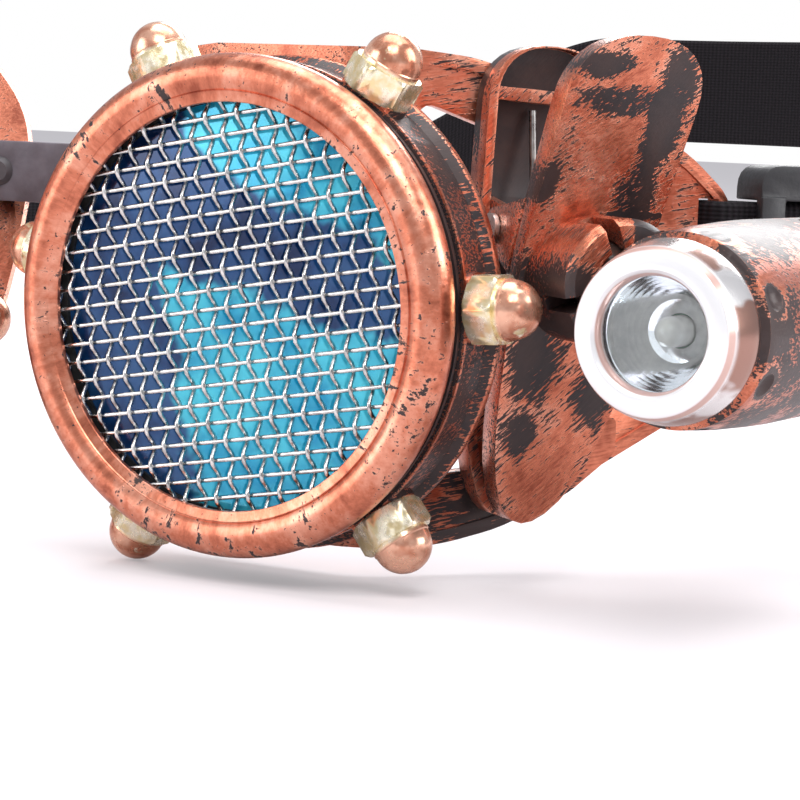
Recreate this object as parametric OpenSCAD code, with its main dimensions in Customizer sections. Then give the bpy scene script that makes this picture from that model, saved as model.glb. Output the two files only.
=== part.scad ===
// Steampunk goggles: two round cups with woven mesh over blue lenses,
// cap nuts round each cup, a bridge band, an elastic head strap and a small
// torch on a spring clip at the wearer's left temple.
// +X is the wearer's left, +Y runs from the lens to the face, +Z is up.
// The origin is the centre of the left bezel's opening, in its front plane.

/* [Bezels] */
// Distance between the two lens axes
cup_spacing = 76; // [72:1:84]
// How far the rounded bezel bead reaches past the cup's band
bezel_over = 0.8; // [0.6:0.1:1.5]
// How far the bezel's lip covers the edge of the lens
lens_lap = 1.3; // [1:0.1:2]
// Depth of the bezel's front lip
lip_t = 1.5; // [1.3:0.1:3]
// Wall of the bezel's threaded skirt
skirt_wall = 1.85; // [1.4:0.05:2]
// Length of thread shared by the skirt and the cup
thread_len = 3; // [2:0.1:4]

/* [Mesh and lens] */
// Thickness of one woven wire
wire_d = 0.55; // [0.3:0.05:0.6]
// Distance between neighbouring wires
wire_pitch = 2.25; // [1.9:0.05:3]
// Turn of the weave about the lens axis
weave_turn = 10; // [-45:1:45]
// Radius of the lens
lens_r = 25.5; // [23:0.1:28]
// Thickness of the lens
lens_t = 2; // [1:0.1:3]
// Thickness of the rubber gasket behind the lens
gasket_t = 1; // [0.6:0.1:1.6]
// Thickness of the ring between mesh and lens
spacer_t = 0.5; // [0.4:0.1:1.5]

/* [Cups] */
// Wall of the cup round the eye
cup_wall = 3.2; // [2.6:0.1:4]
// Wall of the threaded spigot round the lens
spigot_wall = 1.45; // [1.2:0.05:2]
// Length of the black band that carries the nuts
band_len = 6.8; // [6.8:0.1:8]
// Thickness of the rear rim
rim_t = 1.6; // [1.2:0.1:2]
// Height of the rear rim above the band
rim_h = 1; // [0.6:0.1:1.2]
// Groove between the rear rim and the face plate
groove_len = 1.2; // [0.8:0.1:2]
// Thickness of the face plate and temple panel
plate_t = 2; // [1.6:0.1:3]
// Height of the bead along the plate's edges
bead_h = 0.7; // [0.3:0.1:0.9]
// Width of the bead along the plate's edges
bead_w = 1.6; // [1:0.1:2.5]
// How far the face plate reaches above the band
plate_over = 2.3; // [1.8:0.1:4]
// How far the face plate reaches below the band
plate_under = 0.3; // [0:0.1:2]
// Where the face plate turns back along the temple
bend_x = 11; // [9:0.5:13]
// Radius of that turn
bend_r = 10; // [6:0.5:11]
// Angle between the temple panel's normal and the side
temple_angle = 37; // [34:1:40]
// Length of the temple panel from the turn's corner
temple_len = 49.8; // [48:0.1:54]
// Height of the temple panel's end
temple_end_h = 26; // [26:0.5:30]

/* [Cap nuts] */
// Angles of the nuts round the left cup, from the temple side
left_nuts = [3, 60, 118, 172, 240, 308];
// Angles of the nuts round the right cup, from its own temple side
right_nuts = [3, 60, 118, 188, 240, 308];
// Width of the hexagon across its flats
nut_af = 8; // [7:0.1:8.5]
// Height of the hexagon
nut_h = 3.6; // [3:0.1:5]
// Radius of the dome
dome_r = 3.55; // [3:0.05:3.8]
// Radius of the studs
stud_r = 2.45; // [1.5:0.05:2.6]
// Distance of the nuts behind the band's front edge
nut_setback = 2.7; // [2.6:0.1:4]

/* [Clip] */
// Half the width of the clip's leaves
leaf_half = 8.5; // [8.2:0.1:9]
// Thickness of the leaf sheet
leaf_t = 1.2; // [0.8:0.1:1.4]
// Depth of the turned-in sides of the leaves
leaf_side = 3.6; // [3:0.1:4]
// Backward lean of the whole clip
clip_lean = 3; // [0:0.5:5]
// Height of the clip's top above the lens axis
clip_top = 33.5; // [32:0.5:36]
// Depth of the clip's jaws below the lens axis
clip_bottom = 25; // [23:0.5:26]
// Height of the clip's pin above the lens axis
pivot_z = 10; // [9:0.5:12]
// Radius of the clip's pin
pin_r = 1.25; // [1:0.05:1.5]
// Lean of the front handle
handle_lean = 24; // [20:1:28]
// Thickness of the lug that the jaws grip
lug_t = 2; // [1.5:0.1:2.5]
// Wire radius of the clip's spring
spring_wire = 0.45; // [0.3:0.05:0.6]

/* [Torch] */
// Radius of the torch barrel
barrel_r = 11.6; // [11:0.1:11.8]
// Radius of the torch head where it meets the barrel
head_r = 10; // [9.5:0.1:10.4]
// Radius of the bore for the cells
bore_r = 7.2; // [6.8:0.1:7.6]
// Length of the whole torch
torch_len = 52; // [50:1:56]
// Sideways place of the torch axis
torch_x = 59.5; // [59.5:0.1:62]
// Height of the torch axis
torch_z = 1.8; // [1:0.1:4]
// How far the torch reaches in front of the bezels
torch_ahead = 9; // [6:0.5:12]
// Length of the bright head ring
head_len = 6; // [5.5:0.5:8]
// Radius of the head's opening
head_view_r = 6; // [5:0.1:6.2]
// Radius of the ball that carries the torch
ball_r = 4.8; // [4.4:0.1:5]
// Outer radius of the ball's socket
socket_r = 7.6; // [7.2:0.1:7.9]
// Length of the tail cap behind the barrel
tail_len = 7; // [6:0.5:9]
// Dimples round each end of the barrel
dimples = 7; // [5:1:9]
// Height of the socket and ball above the lens axis
socket_z = 5.2; // [4:0.1:6]
// Travel of the tail button
button_travel = 1.2; // [0.6:0.1:1.6]

/* [Straps] */
// Width of the head strap
strap_w = 20; // [18:0.5:21]
// Thickness of the head strap
strap_t = 1.6; // [1.2:0.1:1.8]
// Height of the strap's middle at the temples
strap_z = 4.2; // [4:0.1:6]
// Depth of the strap loop behind the bezels
loop_depth = 226; // [200:1:250]
// Height of the strap's middle at the back of the loop
loop_rise = 30.5; // [20:0.5:36]
// Width of the bridge band
bridge_w = 8; // [6:0.5:9]
// Thickness of the bridge band
bridge_t = 1.8; // [1.2:0.1:2]
// Height of the bridge band above the lens axes
bridge_z = 14; // [12:0.5:15]

/* [Hidden] */
$fn = 72;
seat_gap = 0.03;
turn_gap = 0.06;
free_gap = 0.3;
crimp = wire_d + 0.05;
weave_t = 2 * crimp + wire_d;
mesh_y = lip_t + seat_gap + weave_t / 2;
view_r = lens_r - lens_lap;
spigot_y = lip_t + weave_t + 2 * seat_gap;
lens_y = spigot_y + spacer_t + seat_gap;
gasket_y = lens_y + lens_t + seat_gap;
seat_y = gasket_y + gasket_t + seat_gap;
rebate_r = lens_r + 0.2;
spigot_r = rebate_r + spigot_wall;
skirt_r = spigot_r + 0.2;
band_r = skirt_r + skirt_wall;
bezel_r = band_r + bezel_over;
plate_top = band_r + plate_over;
plate_bottom = band_r + plate_under;
band_y = spigot_y + thread_len + free_gap;
rim_y = band_y + band_len;
plate_y = rim_y + rim_t + groove_len;
cup_r = band_r - cup_wall;
seat_r = view_r + 0.2;
nut_y = band_y + nut_setback;
nut_base = band_r + 0.6;
stud_bore = stud_r + turn_gap;
stud_in = cup_r + 0.4;
dome_c = nut_base + nut_h + 0.7;
bead_r = 2.7;
edge_gap = 0.5;
bend_len = bend_r * tan((90 - temple_angle) / 2);
nose_x = -12;
nose_turn = 22;
nose_len = band_r - 9.8;
window_in = bend_len + 0.5;
panel_step = 0.1;
window_end = 28;
slot_w = 2.6;
slot_end = temple_len - 2.2;
slot_in = slot_end - slot_w;
clip_y = 20.2;
eye_r = view_r - 0.2;
rivet_at = nose_len - 3.9;
rivet_r = 1.2;
back_face = bead_h + edge_gap;
back_in = back_face + 1.4;
jaw_gap = 0.1;
lug_x = back_in + leaf_side + jaw_gap;
front_in = lug_x + lug_t + jaw_gap + leaf_side;
front_face = front_in + 5.3;
bend_z = pivot_z - 2;
pivot_x = (back_face + front_face) / 2;
lean = tan(handle_lean);
handle_x = front_face + (clip_top - bend_z) * lean;
ear_t = 1.2;
socket_x = front_face - (bend_z - socket_z) * (front_face - front_in) / (bend_z + clip_bottom);
ball_x = socket_x + 7.2;
socket_h = 11.4;
pin_out = 4.6;
neck_r = 2.2;
cell_r = 5.8;
button_r = 4.2;
strap_out = temple_len + 2;
slider_len = 18;
slider_y = temple_len + slider_len / 2 + 2;
strap_straight = slider_y + slider_len;

function unit(v) = v / norm(v);

// One corner of an outline, rounded over the distance r along both sides
function corner(a, b, c, r) =
    let (u = unit(a - b), v = unit(c - b))
    [for (t = [0:0.2:1]) (b + u * r) * (1 - t) * (1 - t) + 2 * b * t * (1 - t) + (b + v * r) * t * t];

// An outline with every corner rounded by the third value of its point
function rounded(p) =
    let (n = len(p), q = [for (a = p) [a.x, a.y]])
    [for (i = [0:n - 1]) each (p[i].z == 0 ? [q[i]]
        : corner(q[(i + n - 1) % n], q[i], q[(i + 1) % n], p[i].z))];

// An outline moved inwards by d, where its points run anticlockwise
function inset(p, d) =
    let (n = len(p))
    [for (i = [0:n - 1]) let (u = unit(p[i] - p[(i + n - 1) % n]), v = unit(p[(i + 1) % n] - p[i]),
        m = unit([-u.y - v.y, u.x + v.x])) p[i] + m * d / max(0.5, m * [-u.y, u.x])];

// Direction across a path at one of its points
function across(p, i) =
    let (a = p[max(i - 1, 0)], b = p[min(i + 1, len(p) - 1)], d = unit(b - a))
    [-d.y, d.x];

// A band of even thickness along a path in the plane
function band_outline(p, t) =
    concat([for (i = [0:len(p) - 1]) p[i] + across(p, i) * t / 2],
           [for (i = [len(p) - 1:-1:0]) p[i] - across(p, i) * t / 2]);

// A point of a cubic curve
function curve(a, b, c, d, t) =
    a * pow(1 - t, 3) + 3 * b * t * pow(1 - t, 2) + 3 * c * t * t * (1 - t) + d * pow(t, 3);

// A turned shape whose profile is radius and depth behind the bezels
module turned(profile) {
    rotate([-90, 0, 0]) rotate_extrude($fn = 120) polygon(profile);
}

// The right cup mirrors the left one across the nose
module to_right() {
    translate([-cup_spacing, 0, 0]) mirror([1, 0, 0]) children();
}

// Temple coordinates: x outwards, y back along the panel from the turn's corner
module at_temple() {
    translate([bend_x, plate_y, 0]) rotate([0, 0, -temple_angle]) children();
}

// A flat shape given as back and up, standing between two outward distances
module stand(x0, x1) {
    translate([x0, 0, 0]) rotate([90, 0, 90]) linear_extrude(x1 - x0) children();
}

// A flat shape given as outwards and up, standing across the panel
module upright(y0, y1) {
    translate([0, y1, 0]) rotate([90, 0, 0]) linear_extrude(y1 - y0) children();
}

// A round rod between two points
module rod(a, b, r) {
    d = b - a;
    translate(a) rotate([0, acos(d.z / norm(d)), atan2(d.y, d.x)]) cylinder(h = norm(d), r = r, $fn = 16);
}

// Round bezel: a bead, a fine step and an inner lip, with the threaded skirt behind
module bezel() {
    bead_c = bezel_r - bead_r;
    color([0.80, 0.45, 0.34])
    turned(concat(
        [[view_r, lip_t], [view_r, lip_t / 2], [bead_c - 1.75, lip_t / 2 - 0.15], [bead_c - 1.6, 0.3]],
        [for (a = [-115:12.5:60]) [bead_c + bead_r * cos(a), bead_r + bead_r * sin(a)]],
        [[band_r, 2 * bead_r - 0.1], [band_r, band_y - free_gap], [skirt_r, band_y - free_gap],
         [skirt_r, lip_t]]));
}

// Half the length of a wire at a distance from the middle of the disc
function wire_half(side) = sqrt(pow(spigot_r, 2) - side * side);

// One straight wire of the weave
module straight_wire(i) {
    side = i * wire_pitch;
    rotate([0, 90, 0]) translate([0, side, 0])
        cylinder(h = 2 * wire_half(side), r = wire_d / 2, center = true, $fn = 16);
}

// One wire bent over and under the straight ones, level where it crosses each of them
module crimped_wire(i) {
    side = i * wire_pitch;
    end = wire_half(side) / wire_pitch;
    n = floor(end);
    level = 0.14;
    function lift(t) = let (k = round(t), away = max(0, abs(t - k) - level) / (0.5 - level))
        ((i + k + 200) % 2 == 0 ? 1 : -1) * crimp * (1 - away);
    stops = concat([-end], [for (k = [-n:n], s = [-level, level]) if (abs(k + s) < end - 0.03) k + s], [end]);
    translate([0, side, 0]) rotate([90, 0, 0]) linear_extrude(wire_d, center = true)
        polygon(band_outline([for (t = stops) [t * wire_pitch, lift(t)]], wire_d));
}

// Plain weave cut to a disc: straight wires across, crimped wires up and down
module mesh() {
    last = floor((spigot_r - 1) / wire_pitch);
    color([0.78, 0.78, 0.76])
    translate([0, mesh_y, 0]) rotate([90, 0, 0]) rotate([0, 0, weave_turn]) {
        for (i = [-last:last]) straight_wire(i);
        for (i = [-last:last]) rotate([0, 0, 90]) crimped_wire(i);
    }
}

// Ring that keeps the mesh off the lens
module spacer() {
    color([0.15, 0.14, 0.15])
    turned([[seat_r, spigot_y], [lens_r, spigot_y], [lens_r, spigot_y + spacer_t],
            [seat_r, spigot_y + spacer_t]]);
}

// Blue disc with eased edges
module lens() {
    ease = lens_t / 6;
    color([0.10, 0.55, 0.80, 0.6])
    turned([[0, lens_y], [lens_r - ease, lens_y], [lens_r, lens_y + ease],
            [lens_r, lens_y + lens_t - ease], [lens_r - ease, lens_y + lens_t], [0, lens_y + lens_t]]);
}

// Soft ring that the lens is pressed against
module gasket() {
    color([0.12, 0.12, 0.12])
    turned([[seat_r, gasket_y], [lens_r, gasket_y], [lens_r, gasket_y + gasket_t],
            [seat_r, gasket_y + gasket_t]]);
}

// Turned part of the cup: spigot, ribbed band and rear rim
module cup_turned() {
    rib = 0.45;
    turned([[rebate_r, spigot_y], [spigot_r, spigot_y], [spigot_r, band_y], [band_r + rib, band_y],
            [band_r + rib, band_y + 0.5], [band_r, band_y + 0.8],
            [band_r, rim_y - 0.6], [band_r + rim_h - 0.4, rim_y], [band_r + rim_h, rim_y + 0.4],
            [band_r + rim_h, rim_y + rim_t - 0.4], [band_r + rim_h - 0.4, rim_y + rim_t],
            [band_r - 0.8, rim_y + rim_t], [band_r - 0.8, plate_y + 0.5], [cup_r, plate_y + 0.5],
            [cup_r, seat_y + 1.1], [seat_r, seat_y + 1.1], [seat_r, seat_y], [rebate_r, seat_y]]);
}

// Places its children at each nut, pointing outwards along x
module at_nuts(angles) {
    for (a = angles) translate([0, nut_y, 0]) rotate([0, -a, 0]) children();
}

// Outline of the temple panel, as back and up
function temple_outline() =
    let (e = temple_end_h / 2, top = strap_z + e, low = strap_z - 0.9 * e - 3)
    [[bend_len - 0.6, plate_top, 0], [13.4, plate_top - 0.8, 3], [temple_len - 7.8, top + 3.7, 4],
     [temple_len - 0.2, top - 2.8, 3], [temple_len, strap_z, 1.5], [temple_len - 0.6, low + 2.5, 2.5],
     [temple_len - 4.5, low - 2, 2.5], [29.4, -plate_bottom + 8.3, 5], [20, -plate_bottom + 2.6, 4],
     [10.5, -plate_bottom + 0.4, 3], [bend_len - 0.6, -plate_bottom, 0]];

// Outline of the window in the temple panel
function window_outline() =
    [[window_in, plate_top - 6, 3], [window_end, plate_top - 13.5, 5], [window_end, -plate_bottom + 13, 5],
     [18, -plate_bottom + 10, 4], [window_in, -plate_bottom + 8.6, 3]];

// Outline of the nose side of the plate, as distance to the nose and up
function nose_outline() =
    [[0, plate_top, 0], [12, plate_top - 1, 4], [nose_len - 1, plate_top - 9, 4],
     [nose_len, bridge_z, 3], [nose_len - 3, -3.5, 8], [9, -plate_bottom + 7, 6], [0, -plate_bottom, 0]];

// Panel that runs back from the plate to the strap, with a bead round its edges
module temple_panel() {
    edge = inset(rounded(temple_outline()), -bead_w);
    last = len(edge) - 1;
    tall = strap_w / 2 + edge_gap / 2;
    difference() {
        stand(-plate_t - panel_step, bead_h) polygon(rounded(temple_outline()));
        stand(panel_step, bead_h + 1)
            polygon(concat([[0, plate_top - bead_w]], [for (i = [1:last - 1]) edge[i]],
                [[0, bead_w - plate_bottom]]));
        stand(-plate_t - 1, bead_h + 1) polygon(rounded(window_outline()));
        translate([-plate_t - 1, slot_in, strap_z - tall]) cube([plate_t + 2, slot_w, 2 * tall]);
    }
}

// Lug beside the window, gripped by the clip's jaws
module clip_lug() {
    far = clip_y + leaf_half + 1.6;
    low = 2.5 - clip_bottom;
    top = low + 10;
    stand(lug_x, lug_x + lug_t)
        polygon(rounded([[clip_y - 4, low, 2], [clip_y + 3, low, 2], [far, low + 5.5, 1], [far, top, 1],
            [clip_y - 6, top, 2]]));
    stand(-plate_t / 2, lug_x + lug_t / 2)
        polygon([[far - 2, low + 5], [far - 0.4, low + 6], [far - 0.4, top - 0.4], [far - 2, top - 0.4]]);
}

// Round pads under the nuts, cut level with the band's front edge
module nut_pads(angles) {
    pad_r = nut_af / 2 + edge_gap / 2;
    intersection() {
        at_nuts(angles) rotate([0, 90, 0]) translate([0, 0, cup_r + 1])
            cylinder(h = nut_base - cup_r - 1, r = pad_r);
        turned([[cup_r + 0.5, band_y + 0.2], [nut_base + 1, band_y + 0.2], [nut_base + 1, rim_y + 1],
                [cup_r + 0.5, rim_y + 1]]);
    }
}

// Moulded cup with its face plate, nose side and temple panel
module cup(angles, with_lug) {
    color([0.22, 0.20, 0.21])
    difference() {
        union() {
            cup_turned();
            nut_pads(angles);
            difference() {
                union() {
                    face_plate();
                    nose_wall();
                    at_temple() temple_panel();
                }
                translate([0, plate_y - 1, 0]) rotate([-90, 0, 0]) cylinder(h = 12, r = eye_r);
            }
            if (with_lug) at_temple() clip_lug();
        }
        at_nuts(angles) rotate([0, 90, 0]) translate([0, 0, cup_r - 2]) cylinder(h = 10, r = stud_bore);
        at_rivet() translate([0, 0, -9]) cylinder(h = 18, r = rivet_r + turn_gap);
    }
}

// Flat plate behind the rear rim, with its turns to the temple and the nose
module face_plate() {
    flat = bend_x - bend_len;
    tall = plate_top + plate_bottom;
    translate([nose_x, plate_y, -plate_bottom]) cube([flat - nose_x, plate_t, tall]);
    translate([flat, plate_y + bend_r, -plate_bottom])
        rotate([0, 0, -90]) rotate_extrude(angle = 90 - temple_angle)
            translate([bend_r - plate_t, 0]) square([plate_t, tall]);
    translate([nose_x, plate_y, 0]) rotate([0, 0, -nose_turn]) mirror([1, 0, 0])
        translate([0, plate_t, 0]) rotate([90, 0, 0]) linear_extrude(plate_t)
            polygon(rounded(nose_outline()));
}

// Cap nut: chamfered hexagon, short neck and dome, with a blind bore
module cap_nut() {
    corner_r = nut_af / 2 / cos(30);
    rotate([0, 90, 0]) difference() {
        union() {
            translate([0, 0, nut_base]) intersection() {
                cylinder(h = nut_h, r = corner_r, $fn = 6);
                cylinder(h = nut_h, r1 = corner_r + 1.6, r2 = nut_af / 2 + 0.1);
                cylinder(h = nut_h, r1 = nut_af / 2 + 0.1, r2 = corner_r + 1.6);
            }
            translate([0, 0, nut_base + nut_h - 0.5])
                cylinder(h = dome_c - nut_base - nut_h + 0.5, r = dome_r);
            translate([0, 0, dome_c]) sphere(r = dome_r);
        }
        translate([0, 0, nut_base - 1]) cylinder(h = nut_h + 1.6, r = stud_bore);
    }
}

module nuts(angles) {
    color([0.86, 0.72, 0.48]) at_nuts(angles) cap_nut();
}

// Studs that hold the nuts to the band
module studs(angles) {
    color([0.55, 0.50, 0.42])
    at_nuts(angles) rotate([0, 90, 0]) translate([0, 0, stud_in])
        cylinder(h = nut_base + nut_h - stud_in, r = stud_r);
}

// Wall that closes the nose side between the rear rim and the plate
module nose_wall() {
    tip = [nose_x - nose_len * cos(nose_turn), plate_y + nose_len * sin(nose_turn)];
    intersection() {
        turned([[eye_r - 1, rim_y], [cup_r + 0.6, rim_y], [cup_r + 0.6, plate_y + 1.2],
                [eye_r + 1.2, plate_y + 1.2], [eye_r + 1.2, tip.y + 1], [eye_r - 1, tip.y + 1]]);
        translate([0, 0, -plate_bottom]) linear_extrude(plate_top + plate_bottom)
            polygon([[nose_x, plate_y - 0.5], [nose_x, plate_y + plate_t / 2], tip + [0, plate_t / 2],
                     [tip.x, plate_y - 0.5]]);
    }
}

// Place of the rivet on the nose side, pointing forwards
module at_rivet() {
    translate([nose_x, plate_y, 0]) rotate([0, 0, -nose_turn]) translate([-rivet_at, 0, bridge_z])
        rotate([90, 0, 0]) children();
}

// Soft band between the two nose sides, bent to lie on both
module bridge_band() {
    lie = bridge_t / 2 + 0.1;
    c = cos(nose_turn);
    s = sin(nose_turn);
    function on_nose(d) = [nose_x - d * c - lie * s, plate_y + d * s - lie * c];
    half = [on_nose(rivet_at - 2.4), on_nose(rivet_at), on_nose(nose_len - 0.5),
            on_nose(nose_len + 1) + [-0.8, -0.3]];
    line = concat(half, [for (i = [len(half) - 1:-1:0]) [-cup_spacing - half[i].x, half[i].y]]);
    color([0.33, 0.32, 0.35])
    difference() {
        translate([0, 0, bridge_z - bridge_w / 2]) linear_extrude(bridge_w)
            polygon(band_outline(line, bridge_t));
        at_rivet() translate([0, 0, -9]) cylinder(h = 18, r = rivet_r + turn_gap);
        to_right() at_rivet() translate([0, 0, -9]) cylinder(h = 18, r = rivet_r + turn_gap);
    }
}

// Rivet through the nose side and the band
module rivet() {
    at_rivet() {
        translate([0, 0, -plate_t - 0.9]) cylinder(h = 0.85, r = 1.6 * rivet_r);
        translate([0, 0, -plate_t - 0.5]) cylinder(h = plate_t + bridge_t + 0.9, r = rivet_r);
        translate([0, 0, bridge_t + 0.2]) cylinder(h = 0.8, r1 = 1.6 * rivet_r, r2 = 1.1 * rivet_r);
    }
}

module bridge_rivets() {
    color([0.30, 0.28, 0.30]) {
        rivet();
        to_right() rivet();
    }
}

// Half width of a leaf at a height: full down to the middle, then drawn in to the tip
function leaf_width(half, z, low) =
    let (t = min(1, max(0, (2 - z) / (2 - low)))) half * pow(1 - pow(t, 1.4), 1 / 1.4);

// Face of a leaf as back and up: rounded handle above, tapering jaw below
function leaf_outline(half, top, low) =
    let (zs = [for (k = [0:10]) 2 - (2 - low) * sin(9 * k)])
    concat([for (k = [9:-1:1]) [clip_y + leaf_width(half, zs[k], low), zs[k]]],
           [for (a = [0:10:180]) [clip_y + half * sign(cos(a)) * pow(abs(cos(a)), 0.85),
                                  top - 0.9 * half * (1 - pow(sin(a), 0.85))]],
           [for (k = [1:9]) [clip_y - leaf_width(half, zs[k], low), zs[k]]],
           [[clip_y, low]]);

// Solid between two lines through handle, bend and jaw, cut to a leaf's face
module leaf_solid(a, b, half, top, low) {
    intersection() {
        upright(clip_y - 2 * half, clip_y + 2 * half)
            polygon([[a[0], clip_top], [a[1], bend_z], [a[2], -clip_bottom],
                     [b[2], -clip_bottom], [b[1], bend_z], [b[0], clip_top]]);
        stand(-20, 60) polygon(leaf_outline(half, top, low));
    }
}

// Hollow of a leaf, open towards the other one
module leaf_hollow(a, b) {
    leaf_solid(a, b, leaf_half - leaf_t, clip_top - leaf_t, leaf_t - clip_bottom);
}

// Ears that stand in to the pin from a leaf whose upper part slopes
module ears(x, at, slope) {
    eye = pin_r + 1.4;
    reach = 4;
    for (side = [-1, 1])
        upright(clip_y + side * at - ear_t / 2, clip_y + side * at + ear_t / 2) {
            translate([pivot_x, pivot_z]) circle(r = eye);
            polygon([[x + slope * (pivot_z + reach - bend_z), pivot_z + reach],
                     [pivot_x, pivot_z + eye - 0.1], [pivot_x, pivot_z - eye + 0.1],
                     [x, pivot_z - reach - 1], [x, bend_z]]);
        }
}

// The clip leans back a little, turned about the height of its socket
module leaning() {
    translate([0, clip_y, socket_z]) rotate([-clip_lean, 0, 0]) translate([0, -clip_y, -socket_z]) children();
}

module pin_hole(r) {
    translate([pivot_x, clip_y, pivot_z]) rotate([90, 0, 0])
        cylinder(h = 4 * leaf_half, r = r, center = true);
}

// Inner leaf of the clip, with its ears inside the front one's
module clip_back() {
    face = [back_face, back_face, back_in];
    ridge = clip_top - 8;
    color([0.80, 0.46, 0.35])
    at_temple() leaning() difference() {
        union() {
            difference() {
                leaf_solid(face, face + leaf_side * [1, 1, 1], leaf_half, clip_top - 1, -clip_bottom);
                leaf_hollow(face + leaf_t * [1, 1, 1], face + 2 * leaf_side * [1, 1, 1]);
            }
            ears(back_face + leaf_t / 2, leaf_half - 1.5 * ear_t - free_gap, 0);
            stand(back_face + leaf_t / 2, back_face + leaf_side - 0.6) polygon(rounded([
                [clip_y - leaf_half + 1, ridge, 0.5], [clip_y + leaf_half - 1, ridge, 0.5],
                [clip_y + leaf_half - 1, ridge + 1.6, 0.5], [clip_y - leaf_half + 1, ridge + 1.6, 0.5]]));
        }
        pin_hole(pin_r + 0.01);
    }
}

// Round ball socket with springy fingers and a notch for the ball's neck
module socket() {
    fingers = 4;
    slot = 1.8;
    difference() {
        translate([socket_x - 1.8, clip_y, socket_z]) rotate([0, 90, 0]) {
            cylinder(h = socket_h + 0.8, r = socket_r);
            translate([0, 0, socket_h + 0.8]) cylinder(h = 1, r1 = socket_r, r2 = socket_r - 0.8);
        }
        translate([ball_x, clip_y, socket_z]) {
            rotate([0, 90, 0]) {
                sphere(r = ball_r + free_gap);
                cylinder(h = socket_h, r = ball_r - 0.7);
            }
            for (k = [0:fingers - 1]) rotate([20 + k * 360 / fingers, 0, 0])
                translate([-ball_r / 2, 0, -slot / 2]) cube([2 * socket_h, 2 * socket_r, slot]);
            translate([ball_r / 4, 0, -neck_r - 0.6]) cube([2 * socket_h, 2 * socket_r, 2 * neck_r + 1.2]);
            rotate([0, 0, temple_angle]) translate([ball_r + 0.4, -20, -20]) cube(40);
        }
    }
}

// Outer leaf of the clip: lipped handle and jaw, ears and the torch's socket
module clip_front() {
    face = [handle_x, front_face, front_in];
    color([0.80, 0.46, 0.35])
    at_temple() difference() {
        union() {
            difference() {
                union() {
                    leaning()
                        leaf_solid(face - leaf_side * [1, 1, 1], face, leaf_half, clip_top, -clip_bottom);
                    socket();
                }
                leaning() leaf_hollow(face - 2 * leaf_side * [1, 1, 1], face - leaf_t * [1, 1, 1]);
            }
            leaning() ears(front_face - leaf_side + 0.5, leaf_half - ear_t / 2, lean);
        }
        leaning() pin_hole(pin_r + turn_gap);
    }
}

// Pin through the ears, headed at both ends
module clip_pin() {
    reach = leaf_half + 0.1;
    color([0.70, 0.68, 0.64])
    at_temple() leaning() translate([pivot_x, clip_y, pivot_z]) rotate([90, 0, 0]) {
        cylinder(h = 2 * reach, r = pin_r, center = true);
        for (side = [0, 1]) mirror([0, 0, side]) translate([0, 0, reach]) cylinder(h = 0.6, r = pin_r + 0.6);
    }
}

// Torsion spring round the pin, with a leg up each handle
module clip_spring() {
    coil = pin_r + 1.1 + spring_wire;
    turns = 5;
    leg_z = clip_top - 9;
    front_leg = front_face + (leg_z - bend_z) * lean - leaf_t / cos(handle_lean) - spring_wire - 0.3;
    back_leg = back_face + leaf_t + spring_wire + 0.3;
    far = (turns - 1) * spring_wire;
    color([0.35, 0.34, 0.34])
    at_temple() leaning() {
        for (k = [0:turns - 1]) translate([pivot_x, clip_y + far - 2 * k * spring_wire, pivot_z])
            rotate([90, 0, 0]) rotate_extrude($fn = 48) translate([coil, 0])
                circle(r = spring_wire * 1.01, $fn = 16);
        rod([pivot_x + coil, clip_y + far, pivot_z], [front_leg, clip_y + far, leg_z], spring_wire);
        rod([pivot_x - coil, clip_y - far, pivot_z], [back_leg, clip_y - far, leg_z], spring_wire);
    }
}

// World place of the ball's centre
ball = [bend_x + ball_x * cos(temple_angle) + clip_y * sin(temple_angle),
        plate_y - ball_x * sin(temple_angle) + clip_y * cos(temple_angle), socket_z];
saddle_x = ball.x + ball_r + 0.75;

// Ball, neck and pin that carry the torch
module ball_stud() {
    color([0.20, 0.17, 0.17])
    translate(ball) {
        rotate([0, 90, 0]) {
            sphere(r = ball_r);
            cylinder(h = saddle_x - ball.x - 0.1, r = neck_r);
            cylinder(h = saddle_x - ball.x + pin_out - 0.5, r = neck_r - 0.4);
        }
    }
}

// Torch coordinates: z runs back along the barrel from its front face
module at_torch() {
    translate([torch_x, -torch_ahead, torch_z]) rotate([-90, 0, 0]) children();
}

// Barrel with a ring of dimples near each end and the saddle for the ball's pin
module torch_barrel() {
    end = torch_len - tail_len;
    start = head_len + free_gap;
    cells_r = cell_r + free_gap;
    color([0.25, 0.20, 0.19])
    difference() {
        union() {
            at_torch() rotate_extrude($fn = 96) polygon([[bore_r, start], [head_r - 0.4, start],
                [head_r - 0.4, start + 0.7], [barrel_r - 1, start + 1], [barrel_r - 0.45, start + 8],
                [barrel_r - 0.1, start + 16], [barrel_r, start + 20], [barrel_r, end - 0.6],
                [barrel_r - 0.6, end], [bore_r, end], [bore_r, end - 5], [cells_r, end - 5],
                [cells_r, start + 6], [bore_r, start + 6]]);
            difference() {
                translate([saddle_x, ball.y, ball.z]) rotate([0, 90, 0])
                    cylinder(h = torch_x - saddle_x - bore_r - 0.2, r = neck_r + 1.6);
                at_torch() translate([0, 0, -1]) cylinder(h = torch_len + 2, r = barrel_r - 1);
            }
        }
        translate([saddle_x - 1, ball.y, ball.z]) rotate([0, 90, 0])
            cylinder(h = pin_out + 1, r = neck_r - 0.4 + turn_gap);
        at_torch() for (z = [start + 3, end - 7], k = [0:dimples - 1])
            rotate([0, 0, (k - 0.44) * 360 / dimples]) translate([barrel_r + 0.7, 0, z])
                sphere(r = 2.2, $fn = 32);
    }
}

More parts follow.
